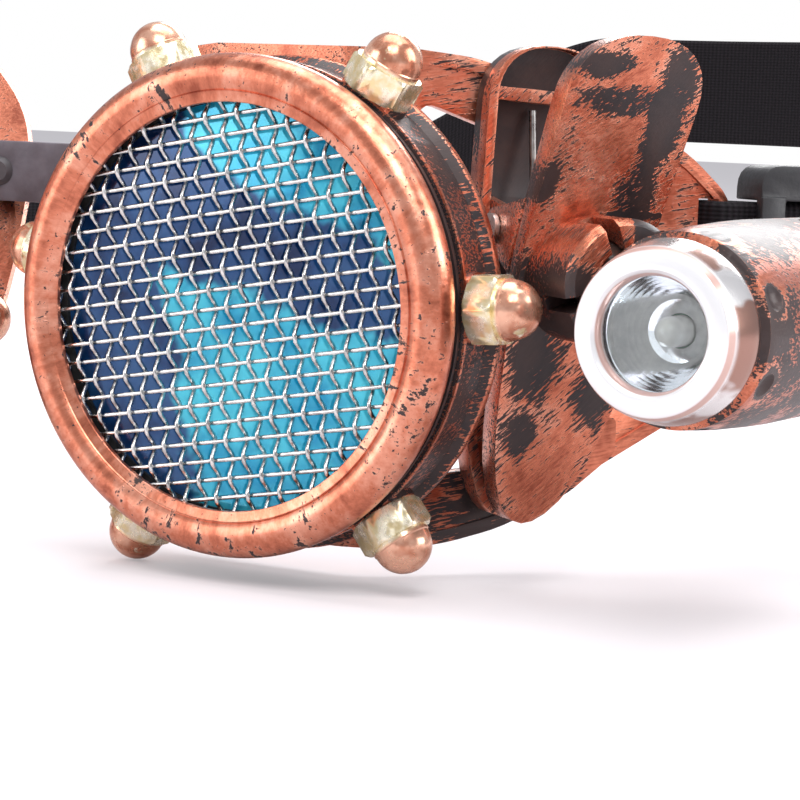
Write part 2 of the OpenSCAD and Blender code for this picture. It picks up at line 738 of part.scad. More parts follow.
// Bright head ring that narrows to the front face
module torch_head() {
    color([0.85, 0.85, 0.87])
    at_torch() rotate_extrude($fn = 96) polygon([[head_view_r, 0.9], [head_view_r + 0.4, 0.2],
        [head_view_r + 0.6, 0], [head_r - 1.4, 0.35], [head_r - 0.9, 0.8], [head_r - 0.6, 1.6],
        [head_r - 0.2, 3.8], [head_r, 0.85 * head_len], [head_r - 0.1, head_len], [bore_r, head_len],
        [bore_r, 1.8], [head_view_r, 1.8]]);
}

module torch_lens() {
    color([0.85, 0.90, 0.95, 0.4])
    at_torch() translate([0, 0, 1.85]) cylinder(h = 1.2, r = bore_r - 0.1);
}

// Curved reflector cup round the lamp
module torch_reflector() {
    back = head_len + 2.4;
    inner = [for (t = [0:0.125:1]) [1.9 + (head_view_r - 1.7) * sqrt(t), back - (back - 3.4) * t]];
    color([0.90, 0.90, 0.92])
    at_torch() rotate_extrude($fn = 64)
        polygon(concat(inner, [[bore_r - 0.2, 3.15], [bore_r - 0.2, 4]],
            [for (k = [6:-1:0]) inner[k] + [0.9, 0.3]], [[1.9, back + 0.3]]));
}

// Clear dome of the lamp on its base
module torch_led() {
    back = head_len + 2.9;
    color([0.95, 0.93, 0.75])
    at_torch() {
        translate([0, 0, back - 3]) cylinder(h = 3, r = 1.7, $fn = 32);
        translate([0, 0, back - 3]) sphere(r = 1.7, $fn = 32);
    }
}

// Round board that the lamp stands on
module torch_board() {
    color([0.20, 0.45, 0.25])
    at_torch() translate([0, 0, head_len + 2.93]) cylinder(h = 1.2, r = bore_r - 0.2);
}

// Stack of button cells
module torch_cells() {
    cell_t = 5.4;
    color([0.75, 0.76, 0.78])
    at_torch() for (k = [0:2]) translate([0, 0, head_len + 4.2 + k * (cell_t + 0.02)]) {
        cylinder(h = cell_t - 0.4, r = cell_r);
        translate([0, 0, cell_t - 0.4]) cylinder(h = 0.4, r = 0.72 * cell_r);
    }
}

// Contact spring between the cells and the tail
module torch_spring() {
    start = head_len + 4.3 + 3 * 5.42;
    stop = torch_len - tail_len - 6.2;
    turns = 6;
    wire = 0.35;
    pitch = (stop - start - 2 * wire) / (turns - 1);
    color([0.80, 0.78, 0.70])
    at_torch() {
        for (k = [0:turns - 1]) translate([0, 0, start + wire + k * pitch]) rotate_extrude($fn = 36)
            translate([4.6, 0]) circle(r = wire, $fn = 16);
        for (k = [0:turns - 2]) rotate([0, 0, 180 * (k % 2)])
            translate([4.6, 0, start + wire + k * pitch]) cylinder(h = pitch, r = 0.8 * wire, $fn = 16);
    }
}

// Tail cap with a skirt inside the barrel and a bore for the button
module torch_tail_cap() {
    end = torch_len - tail_len;
    skirt = bore_r - 0.1;
    color([0.78, 0.44, 0.33])
    at_torch() difference() {
        rotate_extrude($fn = 96) polygon([[0, end - 5.6], [cell_r + 0.2, end - 5.6],
            [cell_r + 0.2, end - 4.9], [skirt, end - 4.9], [skirt, end + 0.1],
            [barrel_r - 0.6, end + 0.1], [barrel_r, end + 0.7],
            [barrel_r, torch_len - 1.4], [barrel_r - 1.4, torch_len], [0, torch_len]]);
        translate([0, 0, end - 4]) cylinder(h = 2 * tail_len, r = button_r + 0.1);
        for (a = [0:30:330]) rotate([0, 0, a]) translate([barrel_r + 0.7, 0, end + 1.6])
            cylinder(h = torch_len, r = 1.2, $fn = 24);
    }
}

// Push button in the tail, standing proud by its travel
module torch_button() {
    color([0.10, 0.10, 0.10])
    at_torch() translate([0, 0, torch_len - tail_len]) rotate_extrude($fn = 48)
        polygon([[0, 0], [button_r, 0], [button_r, tail_len + button_travel - 0.6],
            [button_r - 0.8, tail_len + button_travel + 0.2], [0, tail_len + button_travel + 0.4]]);
}

// Elastic folded through the slot and back to the strap's inner side
module strap_return() {
    outer = bead_h + free_gap + strap_t / 2;
    inner = -plate_t - free_gap - strap_t / 2;
    mid = slot_in + strap_t / 2 + 0.15;
    under = outer - strap_t - 0.1;
    line = [[outer, strap_out], [outer, slot_end + 0.2], [outer - 0.8, mid + 0.5], [-plate_t / 2, mid],
            [inner + 0.8, mid + 0.5], [inner, slot_end + 0.2], [inner, temple_len + 0.9],
            [under - 0.6, strap_out + 2], [under, strap_out + 3.5], [under, slider_y + slider_len / 2 + 3]];
    color([0.13, 0.12, 0.13])
    at_temple() translate([0, 0, strap_z - strap_w / 2]) linear_extrude(strap_w)
        polygon(band_outline(line, strap_t));
}

// Smooth step from 0 to 1
function ease(t) = let (u = min(1, max(0, t))) u * u * (3 - 2 * u);

// Head strap: an elastic band in one long loop, lifted at the back
module head_strap() {
    out = [cos(temple_angle), -sin(temple_angle)];
    back = [sin(temple_angle), cos(temple_angle)];
    base = [bend_x, plate_y] + out * (bead_h + free_gap + strap_t / 2);
    start = base + back * (strap_out + seat_gap);
    turn = base + back * strap_straight;
    rear = [-cup_spacing / 2, loop_depth];
    steps = 20;
    left = concat([start, (start + turn) / 2],
        [for (k = [0:steps]) curve(turn, turn + back * 42, rear + [66, 0], rear, k / steps)]);
    plan = concat(left, [for (i = [len(left) - 2:-1:0]) [-cup_spacing - left[i].x, left[i].y]]);
    n = len(plan);
    function rise(u) =
        ease((u - 0.08) / 0.3) - 0.95 * ease((u - 0.54) / 0.12) - 0.05 * ease((u - 0.75) / 0.2);
    function height(i) = strap_z + (loop_rise - strap_z) * rise(i / (n - 1));
    function edge(p, z) = [p.x, p.y, z];
    rows = [for (i = [0:n - 1]) let (d = across(plan, i) * strap_t / 2,
                                     low = height(i) - strap_w / 2, high = low + strap_w)
        [edge(plan[i] + d, low), edge(plan[i] + d, high), edge(plan[i] - d, high), edge(plan[i] - d, low)]];
    color([0.12, 0.11, 0.13])
    polyhedron([for (r = rows) each r],
        concat([[0, 1, 2, 3]], [[4 * n - 1, 4 * n - 2, 4 * n - 3, 4 * n - 4]],
               [for (i = [0:n - 2], k = [0:3]) let (a = 4 * i + k, b = 4 * i + (k + 1) % 4)
                   [a, a + 4, b + 4, b]]));
}

// Adjuster that slides along the strap: two rails, two outer bars and a bar inside
module strap_slider() {
    inside = bead_h + free_gap - strap_t - 0.1 - free_gap;
    outside = bead_h + free_gap + strap_t + free_gap;
    tall = strap_w / 2 + free_gap;
    color([0.10, 0.10, 0.10])
    at_temple() translate([0, slider_y, strap_z]) {
        for (side = [0, 1]) mirror([0, 0, side]) stand(inside - 1.2, outside + 1.2)
            polygon(rounded([[-slider_len / 2, tall, 0], [slider_len / 2, tall, 0],
                [slider_len / 2, tall + 4.5, 3], [-slider_len / 2, tall + 4.5, 3]]));
        for (y = [-slider_len / 2, slider_len / 2 - 3.5]) translate([outside, y, -tall - 0.5])
            cube([1.6, 3.5, 2 * tall + 1]);
        translate([inside - 1.6, -2, -tall - 0.5]) cube([1.6, 4, 2 * tall + 1]);
    }
}

cup(left_nuts, true);  // cup_left
bezel();  // bezel_left
mesh();  // mesh_left
spacer();  // spacer_left
lens();  // lens_left
gasket();  // gasket_left
nuts(left_nuts);  // nuts_left
studs(left_nuts);  // studs_left
to_right() cup(right_nuts, false);  // cup_right
to_right() bezel();  // bezel_right
to_right() mesh();  // mesh_right
to_right() spacer();  // spacer_right
to_right() lens();  // lens_right
to_right() gasket();  // gasket_right
to_right() nuts(right_nuts);  // nuts_right
to_right() studs(right_nuts);  // studs_right
bridge_band();
bridge_rivets();
clip_back();
clip_front();
clip_pin();
clip_spring();
ball_stud();
torch_barrel();
torch_head();
torch_lens();
torch_reflector();
torch_led();
torch_board();
torch_cells();
torch_spring();
torch_tail_cap();
torch_button();
strap_return();  // strap_return_left
to_right() strap_return();  // strap_return_right
head_strap();
strap_slider();
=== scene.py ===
import math

import bmesh
import bpy
from mathutils import Matrix, Vector


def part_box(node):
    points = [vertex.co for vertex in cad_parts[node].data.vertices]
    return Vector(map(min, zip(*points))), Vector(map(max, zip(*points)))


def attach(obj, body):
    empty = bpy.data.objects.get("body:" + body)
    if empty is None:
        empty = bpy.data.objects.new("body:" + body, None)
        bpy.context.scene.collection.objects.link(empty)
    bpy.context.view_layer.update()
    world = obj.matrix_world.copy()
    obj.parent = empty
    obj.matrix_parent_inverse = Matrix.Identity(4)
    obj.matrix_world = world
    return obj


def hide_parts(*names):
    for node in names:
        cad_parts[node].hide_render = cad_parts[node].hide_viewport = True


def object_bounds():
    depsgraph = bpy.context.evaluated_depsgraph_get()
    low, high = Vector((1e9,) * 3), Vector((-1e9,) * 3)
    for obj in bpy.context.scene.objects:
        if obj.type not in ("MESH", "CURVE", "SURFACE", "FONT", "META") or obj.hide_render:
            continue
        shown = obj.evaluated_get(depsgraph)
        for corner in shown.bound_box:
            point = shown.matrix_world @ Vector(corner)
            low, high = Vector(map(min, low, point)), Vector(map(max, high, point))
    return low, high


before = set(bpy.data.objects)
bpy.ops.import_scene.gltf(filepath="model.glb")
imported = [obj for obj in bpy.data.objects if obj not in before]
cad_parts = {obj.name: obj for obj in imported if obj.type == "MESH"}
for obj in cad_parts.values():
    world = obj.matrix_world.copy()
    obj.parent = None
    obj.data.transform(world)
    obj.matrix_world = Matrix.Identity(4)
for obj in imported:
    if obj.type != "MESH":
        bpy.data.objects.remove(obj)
cad_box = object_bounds()

# Sizes of the goggles in millimetres; objects are made in metres
MM = 0.001
CUP_SPACING = 76.0
LEFT = (0.0, 0.0)
RIGHT = (-CUP_SPACING, 0.0)

BEZEL_R = 30.0
VIEW_R = 24.2
LIP = 1.5
BEAD_R = 2.7
SKIRT_R = 27.35
BAND_R = 29.2
SKIRT_END = 6.31
BAND_Y = 6.61
RIM_Y = 13.41

WIRE_D = 0.55
WIRE_PITCH = 2.25
WIRES = 23
WEAVE_TURN = 10.0
WEAVE_R = 27.1

NUT_Y = 9.31
NUT_BASE = 29.8
NUT_AF = 8.0
NUT_H = 3.6
DOME_R = 3.55
LEFT_NUTS = (3, 60, 118, 172, 240, 308)
RIGHT_NUTS = (3, 60, 118, 188, 240, 308)

TEMPLE_ANGLE = 37.0
BEND_X = 11.0
PLATE_Y = 16.21
TEMPLE_LEN = 49.8
PANEL_T = 2.0
SLOT_END = 47.6
STRAP_W = 20.0
STRAP_T = 1.6
STRAP_Z = 4.2
STRAP_STRAIGHT = 78.8
STRAP_OFF = 1.8
LOOP_DEPTH = 226.0
LOOP_RISE = 30.5

CLIP_MID = 20.2
CLIP_LEAN = 3.0
CLIP_BOTTOM = 25.0
SOCKET_Z = 5.2
TORCH_AXIS = (59.5, 1.8)
TORCH_FRONT = -9.0
BARREL_R = 11.6
DIMPLES = 7

# The spring on the clip's pin, in the clip's own place
PIN_X, PIN_Z = 9.25, 10.0
COIL_R = 2.8
SPRING_WIRE = 0.45
SPRING_REACH = 1.8
SPRING_TURNS = 4.44
SPRING_TOP = 24.5
INNER_LEG_X = 3.15
OUTER_LEG_X = 22.45
LEG_GAP = 0.2

# The photograph's width and fitted focal length, in its pixels
PHOTO_WIDTH = 800
PHOTO_FOCAL = 2642
FLOOR_GAP = 0.0002

# Colours as the object shows them
COPPER = (0.66, 0.21, 0.12, 1)
COPPER_PALE = (0.84, 0.38, 0.26, 1)
COPPER_DEEP = (0.36, 0.09, 0.05, 1)
PATINA = (0.022, 0.016, 0.018, 1)
PATINA_BROWN = (0.045, 0.026, 0.024, 1)
GOLD = (0.86, 0.70, 0.38, 1)
GOLD_PALE = (1.0, 0.93, 0.74, 1)
ROSE = (0.88, 0.50, 0.35, 1)
ROSE_DEEP = (0.56, 0.22, 0.13, 1)
BLACK = (0.012, 0.011, 0.013, 1)


def node(tree, kind, inputs=None, **settings):
    made = tree.nodes.new(kind)
    for key, value in settings.items():
        setattr(made, key, value)
    for key, value in (inputs or {}).items():
        if isinstance(value, bpy.types.NodeSocket):
            tree.links.new(value, made.inputs[key])
        else:
            made.inputs[key].default_value = value
    return made


def maths(tree, operation, *values):
    return node(tree, "ShaderNodeMath", dict(enumerate(values)), operation=operation).outputs[0]


def ramp(tree, factor, stops):
    made = node(tree, "ShaderNodeValToRGB", {"Fac": factor})
    elements = made.color_ramp.elements
    elements[0].position, elements[0].color = stops[0]
    elements[1].position, elements[1].color = stops[-1]
    for place, colour in stops[1:-1]:
        elements.new(place).color = colour
    return made.outputs["Color"]


def level(tree, factor, low, high, start=0.0, end=1.0):
    made = node(tree, "ShaderNodeMapRange", {"Value": factor, "From Min": low, "From Max": high,
                                             "To Min": start, "To Max": end})
    made.interpolation_type = "SMOOTHSTEP"
    return made.outputs["Result"]


def blend_colours(tree, factor, a, b):
    made = node(tree, "ShaderNodeMix", {0: factor, 6: a, 7: b}, data_type="RGBA")
    return made.outputs[2]


def noise(tree, vector, scale, detail=4.0, roughness=0.55, distortion=0.0):
    made = node(tree, "ShaderNodeTexNoise", {"Vector": vector, "Scale": scale, "Detail": detail,
                                             "Roughness": roughness, "Distortion": distortion})
    return made.outputs["Fac"]


def start_material(name):
    made = bpy.data.materials.new(name)
    made.use_nodes = True
    tree = made.node_tree
    tree.nodes.clear()
    return made, tree


def finish_material(tree, shader, bump=None, bump_mm=0.05):
    if bump is not None:
        raised = node(tree, "ShaderNodeBump", {"Height": bump, "Distance": bump_mm * MM, "Strength": 1.0})
        tree.links.new(raised.outputs["Normal"], shader.inputs["Normal"])
    output = node(tree, "ShaderNodeOutputMaterial")
    tree.links.new(shader.outputs[0], output.inputs["Surface"])


def in_millimetres(tree, centre=(0, 0, 0)):
    """Object coordinates counted in millimetres from a point of the goggles."""
    place = node(tree, "ShaderNodeTexCoord").outputs["Object"]
    return node(tree, "ShaderNodeMapping", {"Vector": place, "Location": [-c for c in centre],
                                            "Scale": (1 / MM,) * 3}).outputs["Vector"]


def panel_place(tree):
    """Outwards, back and up in millimetres, from where the face plate turns to the temple."""
    return node(tree, "ShaderNodeMapping", {"Vector": in_millimetres(tree, (BEND_X, PLATE_Y, 0)),
                                            "Rotation": (0, 0, math.radians(TEMPLE_ANGLE))}).outputs[0]


def radial_strokes(tree, place, spread=26.0, along=0.5):
    """Place turned into spokes round the lens axis, so that noise on it runs in short radial strokes."""
    parts = node(tree, "ShaderNodeSeparateXYZ", {"Vector": place})
    flat = node(tree, "ShaderNodeCombineXYZ", {"X": parts.outputs["X"], "Y": 0.0, "Z": parts.outputs["Z"]})
    spoke = node(tree, "ShaderNodeVectorMath", {0: flat.outputs[0]}, operation="NORMALIZE")
    wide = node(tree, "ShaderNodeVectorMath", {0: spoke.outputs[0], "Scale": spread}, operation="SCALE")
    far = node(tree, "ShaderNodeVectorMath", {0: flat.outputs[0]}, operation="LENGTH").outputs["Value"]
    depth = maths(tree, "MULTIPLY", maths(tree, "ADD", far, parts.outputs["Y"]), along)
    lift = node(tree, "ShaderNodeCombineXYZ", {"Y": depth})
    spokes = {0: wide.outputs[0], 1: lift.outputs[0]}
    return node(tree, "ShaderNodeVectorMath", spokes, operation="ADD").outputs[0]


def slanted_strokes(tree, panel, turn, along=0.3, across=3.4):
    """Place on the temple side stretched into brush strokes that climb backwards."""
    slanted = node(tree, "ShaderNodeMapping", {"Vector": panel, "Rotation": (math.radians(-turn), 0, 0)})
    return node(tree, "ShaderNodeMapping", {"Vector": slanted.outputs[0],
                                            "Scale": (across, along, across)}).outputs[0]


def spot(tree, place, middle, reach):
    """1 at a point, falling to 0 beyond an ellipsoid; a reach of 0 leaves that direction out."""
    scale = [1 / r if r else 0 for r in reach]
    near = node(tree, "ShaderNodeMapping", {"Vector": place, "Scale": scale,
                                            "Location": [-m * s for m, s in zip(middle, scale)]})
    away = node(tree, "ShaderNodeVectorMath", {0: near.outputs[0]}, operation="LENGTH").outputs["Value"]
    return level(tree, away, 0.5, 1.35, 1.0, 0.0)


def along_axis(tree, place, axis, start, end):
    """0 before the start and 1 past the end along one axis of a place."""
    return level(tree, node(tree, "ShaderNodeSeparateXYZ", {"Vector": place}).outputs[axis], start, end)


def out_of_axis(tree, place, start, end):
    """0 near the lens axis and 1 past a distance from it."""
    flat = node(tree, "ShaderNodeMapping", {"Vector": place, "Scale": (1, 0, 1)}).outputs[0]
    away = node(tree, "ShaderNodeVectorMath", {0: flat}, operation="LENGTH").outputs["Value"]
    return level(tree, away, start, end)


def added(tree, masks):
    """The sum of masks, each with its own weight."""
    total = 0.0
    for weight, mask in masks:
        total = maths(tree, "ADD", maths(tree, "MULTIPLY", mask, weight), total)
    return total


def over_all(tree, operation, *masks):
    """MINIMUM, where all the masks hold, or MAXIMUM, where any of them does."""
    total = masks[0]
    for mask in masks[1:]:
        total = maths(tree, operation, total, mask)
    return total


def antique_copper(name, centre=(0, 0, 0), strokes="radial", turn=42, bare=0.10, shine=0.30,
                   blackened=None, streaks=0.5, scratch=0.06):
    """Bright copper under a broken black patina, with strokes that run radial or slanted.

    More bare leaves less patina, and blackened(tree, place, panel) adds to it where it is thick."""
    made, tree = start_material(name)
    place = in_millimetres(tree, centre)
    panel = panel_place(tree)
    lines = radial_strokes(tree, place) if strokes == "radial" else slanted_strokes(tree, panel, turn)
    brushed = noise(tree, lines, 1.0, 4.0, 0.65)
    clouds = noise(tree, place, 0.15, 5.0, 0.6, 0.4)
    specks = noise(tree, place, 1.5, 3.0, 0.7)
    marks = maths(tree, "SUBTRACT", level(tree, brushed, 0.36, 0.64), 0.5)
    field = added(tree, [(1 - streaks, clouds), (streaks, brushed), (scratch, marks)])
    if blackened is not None:
        field = maths(tree, "ADD", field, blackened(tree, place, panel))
    black = level(tree, field, 0.5 + bare, 0.535 + bare)
    pitted = level(tree, added(tree, [(1.0, specks), (0.25, clouds)]), 0.78, 0.80)
    mask = maths(tree, "MAXIMUM", black, pitted)
    tone = added(tree, [(0.32, brushed), (0.68, clouds)])
    bright = ramp(tree, tone, [(0.36, COPPER_DEEP), (0.48, COPPER), (0.60, COPPER_PALE)])
    dull = ramp(tree, clouds, [(0.40, PATINA), (0.62, PATINA_BROWN)])
    colour = blend_colours(tree, mask, bright, dull)
    rough = level(tree, added(tree, [(0.6, brushed), (0.4, mask)]), 0.2, 0.9, shine, 0.5)
    shader = node(tree, "ShaderNodeBsdfPrincipled", {
        "Base Color": colour, "Roughness": rough, "Metallic": level(tree, mask, 0.0, 1.0, 0.92, 0.30),
        "Coat Weight": 0.22, "Coat Roughness": 0.22})
    finish_material(tree, shader, added(tree, [(1.0, brushed), (0.5, mask)]), 0.05)
    return made


def worn_edge(name):
    """Copper rubbed bright along an edge, broken by what is left of the black."""
    made, tree = start_material(name)
    place = in_millimetres(tree)
    patchy = noise(tree, place, 0.45, 5.0, 0.65)
    mask = level(tree, patchy, 0.40, 0.56)
    colour = blend_colours(tree, mask, PATINA_BROWN, COPPER_PALE)
    shader = node(tree, "ShaderNodeBsdfPrincipled", {
        "Base Color": colour, "Roughness": level(tree, patchy, 0.3, 0.7, 0.42, 0.26), "Metallic": 0.95})
    finish_material(tree, shader, patchy, 0.04)
    return made


def polished(name, dull, bright, roughness):
    """A shiny surface with faint handling marks."""
    made, tree = start_material(name)
    place = in_millimetres(tree)
    marks = noise(tree, place, 0.8, 5.0, 0.6)
    colour = blend_colours(tree, level(tree, marks, 0.3, 0.7), dull, bright)
    shader = node(tree, "ShaderNodeBsdfPrincipled", {
        "Base Color": colour, "Roughness": level(tree, marks, 0.3, 0.7, roughness[0], roughness[1]),
        "Metallic": 1.0})
    finish_material(tree, shader, marks, 0.02)
    return made


def past_line(tree, place, x, z, limit, drift, soft=0.9):
    """1 where x and z, weighted, pass a limit on the lens, with a wandering edge."""
    parts = node(tree, "ShaderNodeSeparateXYZ", {"Vector": place}).outputs
    total = maths(tree, "ADD", maths(tree, "MULTIPLY", parts["X"], x), maths(tree, "MULTIPLY", parts["Z"], z))
    return level(tree, maths(tree, "ADD", total, drift), limit - soft, limit + soft)


def blue_lens(name, centre):
    """Deep blue glass with the lamps' reflection in its coating painted on as two cyan fields."""
    made, tree = start_material(name)
    place = in_millimetres(tree, centre)
    drift = noise(tree, place, 0.16, 3.0, 0.5)
    wander = maths(tree, "MULTIPLY", maths(tree, "SUBTRACT", drift, 0.5), 9.0)
    # Painted reflection: two fields with wandering edges where the lamps' cyan reflection is painted into the
    # colour.
    upper_reflection_field, lower_reflection_field = [over_all(tree, "MINIMUM", *[past_line(tree, place, x, z, limit, wander)
                                                for x, z, limit in lines])
                    for lines in (((0.27, 1, 13.9), (0.83, 1, 13.9), (1, 0, -8.5)),
                                  ((-0.22, -1, -1.5), (1, 0.228, -9.6)))]
    bright = maths(tree, "MAXIMUM", upper_reflection_field, lower_reflection_field)
    deep = ramp(tree, drift, [(0.35, (0.004, 0.025, 0.10, 1)), (0.5, (0.012, 0.07, 0.22, 1)),
                              (0.65, (0.03, 0.11, 0.28, 1))])
    # Colour of the painted lamp reflection.
    painted_cyan_reflection = ramp(tree, drift, [(0.35, (0.01, 0.36, 0.62, 1)), (0.65, (0.09, 0.68, 0.86, 1))])
    colour = blend_colours(tree, bright, deep, painted_cyan_reflection)
    shader = node(tree, "ShaderNodeBsdfPrincipled", {
        "Base Color": colour, "Roughness": level(tree, drift, 0.3, 0.7, 0.06, 0.14),
        "Metallic": 0.3, "IOR": 1.45, "Coat Weight": 0.2, "Coat Roughness": 0.05})
    finish_material(tree, shader)
    return made


def plated_nut(name, centre):
    """Bright gold hexagon whose plating turns to rubbed copper over the dome."""
    made, tree = start_material(name)
    place = in_millimetres(tree, centre)
    marks = noise(tree, place, 0.8, 4.0, 0.6)
    blotch = noise(tree, place, 0.3, 4.0, 0.6)
    dome = out_of_axis(tree, place, NUT_BASE + NUT_H + 0.1, NUT_BASE + NUT_H + 0.7)
    dome = maths(tree, "MULTIPLY", dome, level(tree, blotch, 0.30, 0.38))
    gold = blend_colours(tree, level(tree, marks, 0.35, 0.65), GOLD, GOLD_PALE)
    rose = blend_colours(tree, level(tree, blotch, 0.38, 0.62), ROSE_DEEP, ROSE)
    shader = node(tree, "ShaderNodeBsdfPrincipled", {
        "Base Color": blend_colours(tree, dome, gold, rose),
        "Roughness": level(tree, marks, 0.3, 0.7, 0.14, 0.30), "Metallic": 0.72})
    finish_material(tree, shader, marks, 0.02)
    return made


def clear_glass(name):
    made, tree = start_material(name)
    place = in_millimetres(tree)
    dust = noise(tree, place, 1.2, 3.0)
    shader = node(tree, "ShaderNodeBsdfPrincipled", {
        "Base Color": (0.93, 0.97, 1.0, 1), "Roughness": level(tree, dust, 0.3, 0.7, 0.0, 0.05),
        "IOR": 1.45, "Transmission Weight": 1.0})
    finish_material(tree, shader)
    return made


def moulded(name, colour, paler, roughness):
    """Plastic or rubber with a fine moulded grain."""
    made, tree = start_material(name)
    place = in_millimetres(tree)
    grain = noise(tree, place, 2.0, 4.0, 0.6)
    clouds = noise(tree, place, 0.2, 3.0)
    shader = node(tree, "ShaderNodeBsdfPrincipled", {
        "Base Color": blend_colours(tree, level(tree, clouds, 0.3, 0.7), colour, paler),
        "Roughness": level(tree, grain, 0.3, 0.7, roughness[0], roughness[1])})
    finish_material(tree, shader, grain, 0.03)
    return made


def elastic_weave(name):
    """Black elastic: ribs across and fine cords along, on the strap's own UV in millimetres."""
    made, tree = start_material(name)
    place = node(tree, "ShaderNodeUVMap", uv_map="weave").outputs["UV"]
    parts = node(tree, "ShaderNodeSeparateXYZ", {"Vector": place})
    rib = maths(tree, "SINE", maths(tree, "MULTIPLY", parts.outputs["X"], math.tau / 0.85))
    cord = maths(tree, "SINE", maths(tree, "MULTIPLY", parts.outputs["Y"], math.tau / 0.55))
    woven = added(tree, [(0.6, rib), (0.4, cord)])
    fuzz = noise(tree, place, 3.0, 3.0)
    colour = blend_colours(tree, level(tree, maths(tree, "ADD", woven, fuzz), -0.5, 1.6),
                           (0.004, 0.0032, 0.0042, 1), (0.013, 0.010, 0.013, 1))
    shader = node(tree, "ShaderNodeBsdfPrincipled", {
        "Base Color": colour, "Roughness": level(tree, fuzz, 0.3, 0.7, 0.75, 0.95),
        "Specular IOR Level": 0.2})
    finish_material(tree, shader, woven, 0.08)
    return made


def plain_object(name, mesh, material):
    mesh.name = name
    made = bpy.data.objects.new(name, mesh)
    bpy.context.scene.collection.objects.link(made)
    mesh.materials.clear()
    mesh.materials.append(material)
    return made


def shaded(mesh, angle=35):
    mesh.shade_smooth()
    mesh.set_sharp_from_angle(angle=math.radians(angle))
    return mesh


def settled(obj):
    """The object with its modifiers turned into plain mesh."""
    graph = bpy.context.evaluated_depsgraph_get()
    mesh = bpy.data.meshes.new_from_object(obj.evaluated_get(graph))
    obj.modifiers.clear()
    obj.data = mesh
    return obj


def from_faces(name, shape, material, angle):
    """The object made of a shape's faces, with its normals turned outwards."""
    bmesh.ops.recalc_face_normals(shape, faces=shape.faces)
    mesh = bpy.data.meshes.new(name)
    shape.to_mesh(mesh)
    shape.free()
    return plain_object(name, shaded(mesh, angle), material)


def lathe(name, profile, centre, material, steps=180):
    """A ring turned about the lens axis from a closed outline of radius and depth."""
    shape = bmesh.new()
    rings = []
    for k in range(steps):
        angle = math.tau * k / steps
        rings.append([shape.verts.new(((centre[0] + r * math.cos(angle)) * MM, y * MM,
                                       (centre[1] + r * math.sin(angle)) * MM)) for r, y in profile])
    for k in range(steps):
        here, after = rings[k], rings[(k + 1) % steps]
        for j in range(len(profile)):
            n = (j + 1) % len(profile)
            shape.faces.new((here[j], here[n], after[n], after[j]))
    return from_faces(name, shape, material, 28)


def stand_for(piece, body, slot, *nodes):
    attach(piece, body)
    if nodes:
        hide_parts(*nodes)
    return piece


def dressed(name, body, slot, material, edge_mm=0.25, edge_material=None, angle=30):
    """A CAD node's shape with its sharp edges eased, which stands for the node."""
    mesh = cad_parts[name].data.copy()
    shape = bmesh.new()
    shape.from_mesh(mesh)
    bmesh.ops.remove_doubles(shape, verts=shape.verts, dist=2e-6)
    bmesh.ops.dissolve_limit(shape, angle_limit=math.radians(0.4), verts=shape.verts, edges=shape.edges)
    shape.to_mesh(mesh)
    shape.free()
    piece = plain_object(name + "_dressed", mesh, material)
    if edge_material is not None:
        mesh.materials.append(edge_material)
    if edge_mm:
        rounding = piece.modifiers.new("ease", "BEVEL")
        rounding.width = edge_mm * MM
        rounding.segments = 2
        rounding.limit_method = "ANGLE"
        rounding.angle_limit = math.radians(angle)
        rounding.use_clamp_overlap = True
        rounding.material = 1 if edge_material is not None else -1
        settled(piece)
    shaded(piece.data, angle)
    return stand_for(piece, body, slot, name)


def bezel(side, centre, material):
    """Bead, fine step and inner slope of one bezel, with its skirt."""
    middle = BEZEL_R - BEAD_R
    arc = [(middle + BEAD_R * math.cos(math.radians(a)), BEAD_R + BEAD_R * math.sin(math.radians(a)))
           for a in range(-128, 75, 7)]
    inner = [(VIEW_R, LIP), (VIEW_R, 0.95), (VIEW_R + 0.08, 0.82), (VIEW_R + 0.25, 0.74),
             (middle - 1.95, 0.60), (middle - 1.82, 0.52), (middle - 1.76, 0.44)]
    skirt = [(BAND_R + 0.1, 5.32), (BAND_R, SKIRT_END - 0.2), (BAND_R - 0.2, SKIRT_END),
             (SKIRT_R, SKIRT_END), (SKIRT_R, LIP)]
    ring = lathe("bezel_ring_" + side, inner + arc + skirt, centre, material, 220)
    return stand_for(ring, side + "_bezel", "copper", "bezel_" + side)


def new_tree(name, sizes):
    """A node tree with one geometry input, named size inputs and a geometry output."""
    tree = bpy.data.node_groups.new(name, "GeometryNodeTree")
    tree.interface.new_socket("Geometry", in_out="INPUT", socket_type="NodeSocketGeometry")
    for label, kind in sizes:
        tree.interface.new_socket(label, in_out="INPUT", socket_type=kind)
    tree.interface.new_socket("Geometry", in_out="OUTPUT", socket_type="NodeSocketGeometry")
    return tree, node(tree, "NodeGroupInput"), node(tree, "NodeGroupOutput")


def set_sizes(modifier, values):
    for item in modifier.node_group.interface.items_tree:
        if item.item_type == "SOCKET" and item.in_out == "INPUT" and item.name in values:
            modifier[item.identifier] = values[item.name]


